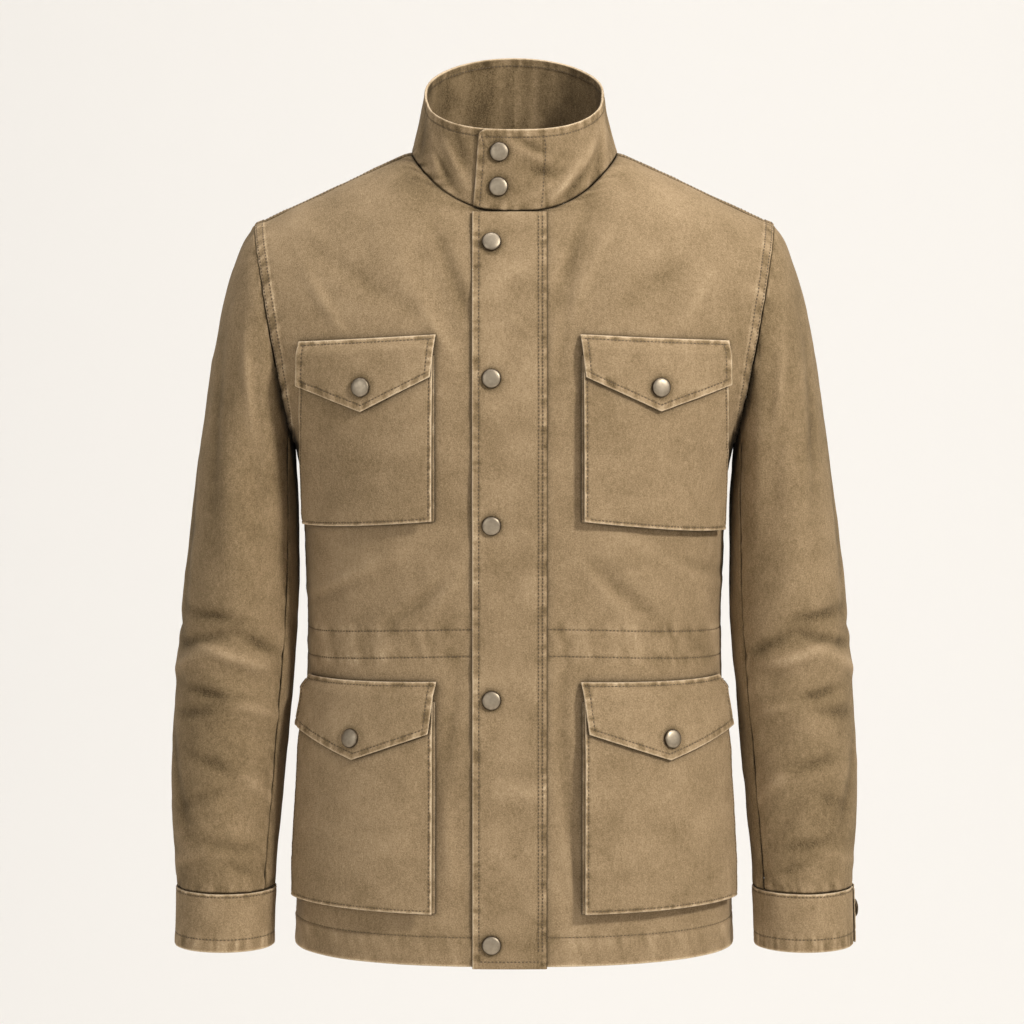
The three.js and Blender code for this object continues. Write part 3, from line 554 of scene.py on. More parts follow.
def hems(lengths, lines, seed):
    """Height and tone of the turned edges in a table of sewn edges, with painted shade in their stitch
    grooves.
    """
    height, wear_and_shade = 0, 0
    for key, line, shift, _, _ in lines:
        run = lengths["bottom" if key in ("start", "end") else "start"]
        rise, edge_tone = hemmed(lengths[key], run, line, seed + shift)
        height, wear_and_shade = height + rise, wear_and_shade + edge_tone
    return height, wear_and_shade


def clustered(count, nominal):
    """Shares along a row: steps of 0.8 mm near both edges and wider ones between."""
    edge = np.append(np.arange(0, 11.5, 0.8), 13.0) / nominal
    inner = np.linspace(edge[-1], 1 - edge[-1], count)
    return np.concatenate([edge[:-1], inner, 1 - edge[-2::-1]])


# A stitch along its length: place, width, rise
STITCH_PROFILE = [
    (-0.5, 0.25, -0.12),
    (-0.28, 0.85, 0.55),
    (0.0, 1.0, 1.0),
    (0.28, 0.85, 0.55),
    (0.5, 0.25, -0.12),
]
STITCH_PITCH = 3.3
STITCH_LENGTH = 2.3
STITCH_WIDTH = 0.55
STITCH_HEIGHT = 0.42


class Stitches:
    """The stitches of one piece, collected line by line and made as one mesh."""

    def __init__(self, name):
        self.name = "stitches_" + name
        self.points = []
        self.faces = []

    def line(self, points, normals):
        """Stitches along a line of points, each a small bump that dips into the cloth at both ends."""
        run = np.concatenate([[0], np.cumsum(np.linalg.norm(np.diff(points, axis=0), axis=1))])
        count = int(run[-1] / STITCH_PITCH)
        if count < 1:
            return
        centres = (np.arange(count) + 0.5) * run[-1] / count
        at = lambda values, where: np.stack([np.interp(where, run, values[:, k]) for k in range(3)], -1)
        middle = at(points, centres)
        direction = unit(at(points, centres + STITCH_LENGTH / 2) - at(points, centres - STITCH_LENGTH / 2))
        normal = unit(at(normals, centres))
        side = unit(np.cross(direction, normal))
        rings = []
        for along, fat, up in STITCH_PROFILE:
            centre = middle + direction * (along * STITCH_LENGTH)
            roundness = 0.1 if up < 0 else fat
            for turn in (0, 90, 180):
                c, s = math.cos(math.radians(turn)), math.sin(math.radians(turn))
                out = STITCH_HEIGHT * (up * 0.35 + s * 0.65 * roundness)
                rings.append(centre + side * (c * STITCH_WIDTH * fat) + normal * out)
        corners = len(rings)
        base = sum(len(p) for p in self.points)
        self.points.append(np.stack(rings, 1).reshape(-1, 3))
        quads = [(k, k + 1, k + 4, k + 3) for r in range(0, corners - 3, 3) for k in (r, r + 1)]
        offsets = base + np.arange(count)[:, None, None] * corners
        self.faces.append((np.array(quads)[None] + offsets).reshape(-1, 4))

    def crossing(self, spread, level, grid, normals):
        """A line through the places where each row of a grid passes a level of spread."""
        points, facing = [], []
        for values, places, outward in zip(spread, grid, normals):
            order = np.argsort(values)
            points.append([np.interp(level, values[order], places[order, k]) for k in range(3)])
            facing.append([np.interp(level, values[order], outward[order, k]) for k in range(3)])
        self.line(np.array(points), np.array(facing))

    def edge(self, grid, normals, lengths, key, distance, first, short):
        """A line at a distance from one edge of a grid, without its first and last steps."""
        spread = lengths[key]
        if key in ("top", "bottom"):
            spread, grid, normals = spread.T, grid.swapaxes(0, 1), normals.swapaxes(0, 1)
        kept = slice(first, len(grid) - short)
        self.crossing(spread[kept], distance, grid[kept], normals[kept])

    def edges(self, grid, normals, lengths, lines):
        for key, distance, _, first, short in lines:
            self.edge(grid, normals, lengths, key, distance, first, short)

    def build(self):
        points, faces = np.concatenate(self.points), np.concatenate(self.faces)
        obj = make_object(self.name, points, faces, material=THREAD_LOOK)
        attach(obj, "root")


# Materials
def set_inputs(node, **values):
    for key, value in values.items():
        node.inputs[key.replace("_", " ")].default_value = value
    return node


def new_look(name, **values):
    """A material, its node tree and its shader, with constant values set on the shader."""
    material = bpy.data.materials.new(name)
    material.use_nodes = True
    shader = set_inputs(material.node_tree.nodes["Principled BSDF"], **values)
    return material, material.node_tree, shader


def tree_node(tree, kind, **values):
    return set_inputs(tree.nodes.new(kind), **values)


def wear_and_shade_value(tree):
    """The stored tone of each mesh at its points: pale rubbed places and painted shade."""
    node = tree.nodes.new("ShaderNodeAttribute")
    node.attribute_name = "wear_and_shade"
    return node.outputs["Fac"]


# Cloth colours from the darkest to the most worn
CLOTH_COLOURS = [
    (0.0, (0.085, 0.056, 0.026, 1)),
    (0.3, (0.215, 0.148, 0.076, 1)),
    (0.52, (0.312, 0.218, 0.122, 1)),
    (0.75, (0.415, 0.297, 0.173, 1)),
    (1.0, (0.64, 0.49, 0.32, 1)),
]
# Radians of the twill's wave per metre along each axis
TWILL_WAVE = {"X": 5200, "Z": -3600, "Y": 3000}


def cloth_material():
    """Washed twill: cloudy fading, diagonal weave, slubs and pale rubbed edges, with painted shade: an
    ambient occlusion node darkens the base colour in recesses.
    """
    material, tree, shader = new_look(
        "shell_cloth", Roughness=0.93, Specular_IOR_Level=0.16, Sheen_Weight=0.05, Sheen_Roughness=0.55,
        Sheen_Tint=(0.9, 0.8, 0.62, 1))
    link = tree.links.new
    place = tree.nodes.new("ShaderNodeTexCoord").outputs["Object"]

    def noise(scale, detail=3.0, stretch=(1, 1, 1), rough=0.55):
        mapping = tree.nodes.new("ShaderNodeMapping")
        mapping.inputs["Scale"].default_value = stretch
        link(place, mapping.inputs["Vector"])
        node = tree_node(tree, "ShaderNodeTexNoise", Scale=scale, Detail=detail, Roughness=rough)
        link(mapping.outputs["Vector"], node.inputs["Vector"])
        return node.outputs["Fac"]

    def maths(operation, a, b=0.0, c=None):
        node = tree.nodes.new("ShaderNodeMath")
        node.operation = operation
        for slot, value in zip(node.inputs, (a, b) if c is None else (a, b, c)):
            if isinstance(value, (int, float)):
                slot.default_value = value
            else:
                link(value, slot)
        return node.outputs[0]

    fading = maths("MULTIPLY_ADD", noise(9, 4), 0.4, -0.2)
    clouds = maths("MULTIPLY_ADD", noise(40, 4), 0.34, -0.17)
    slubs = maths("MULTIPLY_ADD", noise(330, 2, (1, 1, 0.5)), 0.3, -0.15)
    speckle = maths("MULTIPLY_ADD", noise(850, 3, rough=0.7), 1.0, -0.5)
    tone = maths("ADD", maths("ADD", fading, clouds), maths("ADD", slubs, speckle))
    # Stored per-point tone: pale rubbed edges and puckers, and painted shade at seams, stitch grooves, snaps,
    # the sleeves and under the collar
    tone = maths("ADD", tone, maths("MULTIPLY", wear_and_shade_value(tree), 0.8))
    ramp = tree.nodes.new("ShaderNodeValToRGB")
    while len(ramp.color_ramp.elements) < len(CLOTH_COLOURS):
        ramp.color_ramp.elements.new(0.5)
    for element, (position, colour) in zip(ramp.color_ramp.elements, CLOTH_COLOURS):
        element.position = position
        element.color = colour
    link(maths("ADD", tone, 0.5), ramp.inputs["Fac"])
    # Painted shade: ambient occlusion darkens the base colour in recesses and next to raised edges
    painted_recess_shade = tree_node(tree, "ShaderNodeAmbientOcclusion", Distance=0.009)
    painted_recess_shade.samples = 6
    shade = tree.nodes.new("ShaderNodeVectorMath")
    shade.operation = "SCALE"
    link(ramp.outputs["Color"], shade.inputs[0])
    painted_shade_factor = maths("MULTIPLY_ADD", painted_recess_shade.outputs["AO"], 1.3, -0.3)
    link(maths("MAXIMUM", painted_shade_factor, 0.12), shade.inputs["Scale"])
    link(shade.outputs["Vector"], shader.inputs["Base Color"])

    # Twill lines run up to the right at a steep slope
    parts = tree.nodes.new("ShaderNodeSeparateXYZ")
    link(place, parts.inputs["Vector"])
    phase = 0.0
    for axis, wave in TWILL_WAVE.items():
        phase = maths("ADD", phase, maths("MULTIPLY", parts.outputs[axis], wave))
    height = maths("ADD", maths("MULTIPLY", maths("SINE", phase), 0.12), maths("MULTIPLY", speckle, 1.3))
    height = maths("ADD", height, maths("MULTIPLY", clouds, 3.0))
    bump = tree_node(tree, "ShaderNodeBump", Strength=0.4, Distance=0.0006)
    link(height, bump.inputs["Height"])
    link(bump.outputs["Normal"], shader.inputs["Normal"])
    return material


def metal_material():
    """Antiqued nickel: brown in the hollows, rubbed bright on the dome."""
    material, tree, shader = new_look("snap_metal", Metallic=1.0)
    link = tree.links.new
    noise = tree_node(tree, "ShaderNodeTexNoise", Scale=260.0, Detail=4.0)
    link(tree.nodes.new("ShaderNodeTexCoord").outputs["Object"], noise.inputs["Vector"])
    mix = tree.nodes.new("ShaderNodeMath")
    mix.operation = "MULTIPLY_ADD"
    mix.inputs[1].default_value = 0.5
    link(noise.outputs["Fac"], mix.inputs[0])
    link(wear_and_shade_value(tree), mix.inputs[2])
    ramp = tree.nodes.new("ShaderNodeValToRGB")
    ramp.color_ramp.elements[0].color = (0.06, 0.042, 0.025, 1)
    ramp.color_ramp.elements[1].color = (0.54, 0.45, 0.335, 1)
    link(mix.outputs[0], ramp.inputs["Fac"])
    link(ramp.outputs["Color"], shader.inputs["Base Color"])
    rough = tree_node(tree, "ShaderNodeMapRange", From_Min=0.2, From_Max=0.9, To_Min=0.55, To_Max=0.4)
    link(noise.outputs["Fac"], rough.inputs["Value"])
    link(rough.outputs["Result"], shader.inputs["Roughness"])
    bump = tree_node(tree, "ShaderNodeBump", Strength=0.25, Distance=0.0003)
    link(noise.outputs["Fac"], bump.inputs["Height"])
    link(bump.outputs["Normal"], shader.inputs["Normal"])
    return material


CLOTH_LOOK = cloth_material()
THREAD_LOOK, _, _ = new_look("thread", Base_Color=(0.11, 0.072, 0.036, 1), Roughness=0.7)
METAL_LOOK = metal_material()


def finish_piece(obj, node):
    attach(obj, "root")
    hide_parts(node)


def add_cloth(node, grid, normals, thickness, wear_and_shade, inner_wear_and_shade=None):
    """A cloth piece, as a wall on a grid, in place of its solid."""
    points, faces, tones = shell_data(grid, normals, thickness, wear_and_shade)
    if inner_wear_and_shade is not None:
        tones[wear_and_shade.size:] = inner_wear_and_shade.ravel()
    finish_piece(make_object("cloth_" + node, points, faces, tones, CLOTH_LOOK), node)


# Body panels, with finer rows at the hem and at the waist
LOW_HEIGHTS = np.concatenate([
    HEM_Z + np.array([0, 0.8, 2, 3.4]), np.arange(HEM_Z + 5, -686, 1.0), np.linspace(-685, -456, 76),
    np.arange(-454, -402, 0.9), np.linspace(-400, ARMPIT_Z - 1.2, 55)])
LOW_ROWS = [(z, None) for z in LOW_HEIGHTS]
WAIST_ROWS = (-417.0, -441.0)
HEM_STITCH = 26.0
# Distances of the stitch rows from the armhole and from the shoulder seam
ARMHOLE_LINES = (2.2, 8.2)
SHOULDER_LINES = (1.6, 6.6)
# Raised edges of the armhole's seam allowance, rubbed pale
ARMHOLE_RIDGES = (1.2, 9.6)
# Painted shade just under the collar: how much darker the cloth is painted there, on the right side and on
# the left
UNDER_COLLAR_SHADE = {-1: 0.24, 1: 0.1}
FRONT_COLUMNS = 100
BACK_COLUMNS = 84


def high_rows(front):
    """Rows from just above the armpit past the neck's edge to the shoulder."""
    neck = neck_from(front)
    top = SEAM_ANGLE if front else TOP_ANGLE
    above = neck + (top - neck) * np.linspace(0, 1, 76)[1:] ** 1.35
    return [(None, angle) for angle in np.concatenate([np.linspace(-78, neck, 98), above])]


def waist_level(x, z):
    """Height on the front view, with the waist's sag of 10 mm at the sides taken out."""
    return z + 10 * (x / 180) ** 2


def waist_lines(x, z):
    """Gathers of the drawn waist: cloth puckers up and down between two rows of stitches, and the sunk stitch
    rows get painted shade.
    """
    level = waist_level(x, z)
    middle = sum(WAIST_ROWS) / 2
    half = abs(WAIST_ROWS[0] - WAIST_ROWS[1]) / 2
    inside = bell(np.maximum(np.abs(level - middle) - half, 0), 7)
    groove = sum(bell(level - row, 0.9) for row in WAIST_ROWS)
    near = sum(bell(level - row, 6) for row in WAIST_ROWS)
    slant = x + 0.22 * level
    fine = 0.26 * ripple(slant, 3.6, 62) + 0.2 * ripple(x, 6, 63)
    gather = inside * (0.3 * ripple(slant, 8, 61)) + near * fine
    # Painted shade: the groove term darkens the sunk stitch rows
    return 1.3 * gather - 0.5 * groove, 0.6 * gather - 0.16 * groove


def surface_height(x, z, big, creases, seed):
    """Everything raised or sunk on a body panel, and its tone, with painted shade in the sunk hem stitch line
    and waist stitch rows.
    """
    small = 1.8 * crease_fade(x, z) * fold_sum(creases, x, z)
    small = small + 0.4 * cloudy(x + 0.3 * z, z, 26, seed) + 0.2 * cloudy(x, z + 0.4 * x, 11, seed + 1)
    waist, waist_wear_and_shade = waist_lines(x, z)
    hem = z - HEM_Z
    hem_line = bell(hem - HEM_STITCH, 0.9)
    hem_fold = 0.5 * smooth((HEM_STITCH - hem) / 2)
    near = bell(hem - 20, 9) + 0.7 * bell(hem - 3, 5)
    hem_ripple = near * (0.25 * ripple(x + 0.3 * hem, 4.5, seed + 5) + 0.25 * ripple(x, 10, seed + 6))
    # Painted shade: the sunk hem stitch line is painted darker
    wear_and_shade = 0.08 * small + waist_wear_and_shade + 0.6 * hem_ripple + 0.7 * bell(hem, 1.5) - 0.16 * hem_line
    sewn = waist - 0.45 * hem_line + hem_fold + hem_ripple
    return fold_fade(x, z) * fold_sum(big, x, z) + small + sewn, wear_and_shade


def body_half(side, front, edge, columns):
    """One side of the front or the back as a fine grid, and the directions out of it."""
    rows = LOW_ROWS + high_rows(front)
    shares = clustered(columns, 200.0)
    grid = torso_rows(rows, front, edge, shares)
    if not front:
        over = [(None, angle) for angle in np.linspace(TOP_ANGLE, SEAM_ANGLE, 8)[1:]]
        grid = np.concatenate([grid, torso_rows(over, True, edge, shares)])
    at_neck = [angle is not None and angle > neck_from(front) for _, angle in rows]
    neck_rows = np.array(at_neck + [True] * (len(grid) - len(rows)))
    grid = grid * np.array([side, 1, 1])
    outward = grid.copy()
    outward[..., 2] = np.maximum(grid[..., 2] - ARMPIT_Z, 0)
    return grid, outward, neck_rows


def level_middle(normals, joined):
    """Where the halves of the back join, their normals have no sideways part."""
    normals[:joined, 0, 0] = 0
    return unit(normals)


def body_panel(side, front, edge, columns, big, creases, seed):
    """The creased, rubbed grid of one side of the front or the back, with its normals and its tone, which
    holds painted shade under the collar and along the seams.
    """
    grid, outward, neck_rows = body_half(side, front, edge, columns)
    at_neck = neck_rows[:, None]
    x, z = grid[..., 0], grid[..., 2]
    lengths = edge_lengths(grid)
    start, end, bottom, top = (lengths[key] for key in ("start", "end", "bottom", "top"))
    height, wear_and_shade = surface_height(x, z, big, creases, seed)
    above = z > ARMPIT_Z - 1
    armhole, arm_wear = seam(end, bottom, seed + 10, width=9, raised=0.7, pucker=0.6)
    side_seam, side_wear = seam(end, bottom, seed + 20, width=6, raised=0.2, pucker=0.3, wave=9)
    height = height + np.where(above, armhole, side_seam)
    wear_and_shade = wear_and_shade + np.where(above, 0.5 * arm_wear, 0.3 * side_wear)
    for ridge_at in ARMHOLE_RIDGES:
        wear_and_shade = wear_and_shade + 0.3 * bell(end - ridge_at, 1.0) * above
    if front:
        shoulder, shoulder_wear = seam(top, end, seed + 30, width=1, raised=0, pucker=0.2, roll=0.7)
    else:
        shoulder, shoulder_wear = seam(top, end, seed + 30, width=7, raised=0.4, pucker=0.3)
    neck_pucker = 0.35 * bell(start - 6, 7) * ripple(bottom, 6, seed + 40) * at_neck
    height = height + shoulder - 0.8 * bell(start, 1.0) * at_neck + neck_pucker
    wear_and_shade = wear_and_shade + 0.2 * shoulder_wear + 0.35 * neck_pucker
    # Painted shade: the cloth just under the collar is painted darker, more on the right side, and a thin
    # dark line is painted along the armhole and side seam edge
    wear_and_shade = wear_and_shade - UNDER_COLLAR_SHADE[side] * bell(start, 34) * at_neck - 0.3 * bell(end, 0.7)
    joined = 0 if front else int(np.argmax(neck_rows))
    grid = grid + level_middle(grid_normals(grid, outward), joined) * height[..., None]
    grid[:joined, 0, 0] = 0
    normals = level_middle(grid_normals(grid, outward), joined)
    return inset_ends(grid, SEAM_INSET if front else 0, SEAM_INSET), normals, wear_and_shade, lengths, joined


def inset_ends(grid, start, others, bottom=0):
    """A small gap off the sewn edges."""
    for edge, inner, gap in ((grid[:, 0], grid[:, 1], start), (grid[:, -1], grid[:, -2], others),
                             (grid[-1], grid[-2], others), (grid[0], grid[1], bottom)):
        if gap:
            edge += unit(inner - edge) * gap
    return grid


def stitch_body(thread, grid, normals, lengths, front):
    for distance in ARMHOLE_LINES:
        thread.edge(grid, normals, lengths, "end", distance, len(LOW_ROWS) + 1, 1)
    low = grid[:len(LOW_ROWS)].swapaxes(0, 1)
    low_normals = normals[:len(LOW_ROWS)].swapaxes(0, 1)
    z = low[..., 2]
    thread.crossing(z, HEM_Z + HEM_STITCH, low, low_normals)
    for row in WAIST_ROWS:
        thread.crossing(waist_level(low[..., 0], z), row, low, low_normals)
    if not front:
        for distance in SHOULDER_LINES:
            thread.edge(grid, normals, lengths, "top", distance, 2, 2)


for side, label in ((1, "left"), (-1, "right")):
    edge = FRONT_EDGE if side > 0 else -FRONT_EDGE + SEAM_GAP
    panel = body_panel(side, True, edge, FRONT_COLUMNS, FRONT_FOLDS, FRONT_CREASES, 100 + side)
    grid, normals, wear_and_shade, lengths, _ = panel
    add_cloth("front_" + label, grid, normals, CLOTH, wear_and_shade)
    thread = Stitches("front_" + label)
    stitch_body(thread, grid, normals, lengths, True)
    thread.build()

halves = []
thread = Stitches("back")
for side in (1, -1):
    panel = body_panel(side, False, 0.0, BACK_COLUMNS, BACK_FOLDS, BACK_CREASES, 200)
    grid, normals, wear_and_shade, lengths, joined = panel
    halves.append(shell_data(grid, normals, CLOTH, wear_and_shade, joined - 1))
    stitch_body(thread, grid, normals, lengths, False)
points, faces, wear_and_shade = zip(*halves)
faces = np.concatenate([faces[0], faces[1] + len(points[0])])
back = make_object("cloth_back", np.concatenate(points), faces, np.concatenate(wear_and_shade), CLOTH_LOOK)
joining = bmesh.new()
joining.from_mesh(back.data)
bmesh.ops.remove_doubles(joining, verts=joining.verts, dist=0.00002)
joining.to_mesh(back.data)
joining.free()
finish_piece(back, "back")
thread.build()


# Sleeves
def sleeve_point(at, angle, grow=0.0):
    """Points at an angle round a sleeve ring: -90 underarm, 0 in front, 90 at the outer edge."""
    at, angle = np.broadcast_arrays(np.asarray(at, float), np.asarray(angle, float))
    ox, oz, ix, iz, depth, bend = (column(SLEEVE, k, at) for k in range(6))
    c, s = np.cos(np.radians(angle)), np.sin(np.radians(angle))
    half_x, half_z = (ox - ix) / 2, (oz - iz) / 2
    size = np.hypot(half_x, half_z)
    k = (size + grow) / size
    x, z = (ox + ix) / 2 + half_x * s * k, (oz + iz) / 2 + half_z * s * k
    return np.stack([x, bend - (depth + grow) * c, z], -1)


def sleeve_centre(at):
    ox, oz, ix, iz, _, bend = (column(SLEEVE, k, at) for k in range(6))
    return np.stack([(ox + ix) / 2, bend, (oz + iz) / 2], -1)


SLEEVE_FRONT = -55.0
SLEEVE_BACK = 205.0
# Sleeve seams: seed, edge, edge that the seam runs from, width, rise, pucker, wave, wear
SLEEVE_SEAMS = [
    (2, "start", "bottom", 5, 0.15, 0.35, 10, 0.2),
    (3, "end", "bottom", 5, 0.15, 0.35, 10, 0.2),
    (4, "bottom", "start", 5, 0, 0.5, 9, 0.3),
    (5, "top", "start", 7, 0, 0.6, 7, 0.3),
]
SLEEVE_AT = np.concatenate([
    np.linspace(0, 0.2, 7)[:-1], np.linspace(0.2, 11.6, 240), np.linspace(11.6, 12, 9)[1:]])


def sleeve_piece(name, side, start, end, columns, girth, seed):
    """An upper or under sleeve between two angles round the arm."""
    turn, at = np.meshgrid(lerp(start, end, clustered(columns, girth)), SLEEVE_AT)
    grid = sleeve_point(at, turn)
    z = grid[..., 2]
    outward = grid - sleeve_centre(at)
    radius = (column(SLEEVE, 4, at) + 50) / 2
    fade = smooth(at / 1.5) * smooth((12 - at) / 1.2)
    fade = fade * smooth((turn - start) / 18) * smooth((end - turn) / 18)

    def along_sleeve(folds):
        return sum(deep * fold_shape(np.radians(turn - ft) * radius, z - fz, slope, long, wide)
                   for ft, fz, slope, long, wide, deep in folds)

    big = along_sleeve(SLEEVE_FOLDS) * fade
    run = np.radians(turn) * 60
    small = 1.9 * along_sleeve(SLEEVE_CREASES) * smooth((12 - at) / 0.5)
    small = small + 0.55 * cloudy(run + 0.2 * z, z, 24, seed) + 0.2 * cloudy(run, z, 10, seed + 1)
    lengths = edge_lengths(grid)
    # Painted shade: the whole sleeve is painted a step darker than the body
    height, wear_and_shade = small, 0.1 * small - 0.15
    for shift, key, run_key, width, raised, pucker, wave, tones in SLEEVE_SEAMS:
        rise, edge_tone = seam(lengths[key], lengths[run_key], seed + shift, width, raised, pucker, wave)
        height = height + rise
        # Painted shade: a dark line is painted along each seam edge
        wear_and_shade = wear_and_shade + tones * edge_tone - 0.35 * bell(lengths[key], 1.1)
    grid = grid + unit(outward) * big[..., None]
    grid = grid + grid_normals(grid, outward) * height[..., None]
    normals = grid_normals(grid, outward)
    grid = inset_ends(grid, SEAM_INSET, SEAM_INSET, SEAM_INSET)
    flip = np.array([side, 1, 1])
    add_cloth(name, grid * flip, normals * flip, CLOTH, wear_and_shade)


for side, label in ((1, "left"), (-1, "right")):
    sleeve_piece("sleeve_upper_" + label, side, SLEEVE_FRONT, SLEEVE_BACK, 130, 270.0, 300 + side * 20)
    sleeve_piece("sleeve_under_" + label, side, SLEEVE_BACK, SLEEVE_FRONT + 360, 60, 112.0, 350 + side * 20)


# Cuffs: a band that laps over itself at the outer edge
def cuff_point(side, angle, z, lift):
    z, angle = np.broadcast_arrays(np.asarray(z, float), np.asarray(angle, float))
    p = sleeve_point(len(SLEEVE) - 1.0, angle, CUFF_GROW + lift)
    down = (CUFF_TOP - z) / (CUFF_TOP - CUFF_BOTTOM)
    return np.stack([(p[..., 0] + 1.5 * down) * side, p[..., 1] - 3 * down, z], -1)


def cuff_lift(angle, start):
    return CUFF_LIFT * (1 - smooth((angle - start - CUFF_OVERLAP) / 60))


for side, label in ((1, "left"), (-1, "right")):
    first = CUFF_END[label]
    angles = lerp(first, first + 360 + CUFF_OVERLAP, clustered(250, 360.0))
    levels = lerp(CUFF_BOTTOM, CUFF_TOP, clustered(36, CUFF_TOP - CUFF_BOTTOM))
    turn, z = np.meshgrid(angles, levels)
    grid = cuff_point(side, turn, z, cuff_lift(turn, first))
    outward = grid - [grid[..., 0].mean(), grid[..., 1].mean(), 0]
    outward[..., 2] = 0
    lengths = edge_lengths(grid)
    seed = 400 + side
    height = 0.35 * cloudy(lengths["start"], z, 18, seed + 3)
    rise, edge_tone = hems(lengths, CUFF_LINES, seed)
    grid = grid + grid_normals(grid, outward) * (height + rise)[..., None]
    normals = grid_normals(grid, outward)
    add_cloth("cuff_" + label, grid, normals, DOUBLE, 0.2 * height + edge_tone)
    thread = Stitches("cuff_" + label)
    thread.edges(grid, normals, lengths, CUFF_LINES)
    thread.build()


# Collar
def neck_ring():
    """Neckline points by their turn round the neck, from the front's middle to the back's."""
    points = []
    for front, first, last in ((True, NECK_ANGLE_FRONT, 88.5), (False, 89.5, NECK_ANGLE_BACK)):
        rows = [(None, angle + 1e-6) for angle in np.linspace(first, last, 160)]
        points.append(torso_rows(rows, front, 0.0, np.array([0.0]))[:, 0])
    points = np.concatenate(points)
    turns = np.degrees(np.arctan2(points[:, 1], points[:, 0]))
    order = np.argsort(turns)
    return turns[order], points[order]


RING_TURNS, RING = neck_ring()


def neck_at(turn):
    folded = (np.asarray(turn, float) + 90) % 360
    mirrored = folded > 180
    folded = np.where(mirrored, 360 - folded, folded) - 90
    p = np.stack([np.interp(folded, RING_TURNS, RING[:, k]) for k in range(3)], -1)
    p[..., 0] = np.where(mirrored, -p[..., 0], p[..., 0])
    return p


def collar_point(turn, share, out):
    turn, share, out = np.broadcast_arrays(turn, share, out)
    base = neck_at(turn)
    radial = unit(base * np.array([1, 1, 0]))
    rim_y = base[..., 1] * np.where(base[..., 1] < 0, RIM_FRONT / NECK_FRONT, RIM_BACK / NECK_BACK)
    rim = np.stack([base[..., 0] * RIM_HALF / NECK_HALF, rim_y, RIM_Z + RIM_TILT * rim_y], -1)
    base = base + np.array([0, 0, 0.5])
    bow = -1.2 * np.sin(np.pi * share)
    return lerp(base, rim, share[..., None]) + radial * (out + bow)[..., None]


def turn_of_x(x):
    return math.degrees(math.atan2(-math.sqrt(max(0, 1 - (x / NECK_HALF) ** 2)) * NECK_FRONT, x))


# Creases of the collar: distance round from the front, height share, slope, half length, half width, depth
COLLAR_CREASES = [
    (48, 0.30, 40, 26, 4.5, 0.9),
    (58, 0.20, 34, 26, 4, -0.9),
    (40, 0.18, 30, 20, 4, 0.7),
    (70, 0.42, 52, 26, 5, 0.7),
    (30, 0.50, 24, 20, 5, -0.5),
    (80, 0.25, 62, 24, 5, -0.7),
    (95, 0.50, 74, 30, 6, 0.7),
    (-52, 0.40, -50, 26, 5, 0.7),
    (-64, 0.26, -44, 24, 4.5, -0.8),
    (-80, 0.52, -66, 28, 6, 0.7),
    (-100, 0.40, -80, 30, 7, -0.8),
    (118, 0.45, 84, 30, 7, -0.8),
    (14, 0.80, -26, 24, 4.5, -0.8),
    (22, 0.64, -22, 26, 5, 0.7),
    (26, 0.46, -18, 22, 5, -0.7),
    (20, 0.20, 22, 24, 4, 0.5),
    (-50, 0.62, -62, 24, 7, -0.8),
]


# The collar laid flat: radius, half the way round, height, where the facing is sewn on
COLLAR_RADIUS = 84
COLLAR_HALF_ROUND = 264
COLLAR_HEIGHT = 70
COLLAR_FACING_LINE = 61.0
COLLAR_FACING_AROUND = 27


def collar_around(turn):
    """Distance round the collar from the middle of the front."""
    return np.radians(turn + 90) * COLLAR_RADIUS


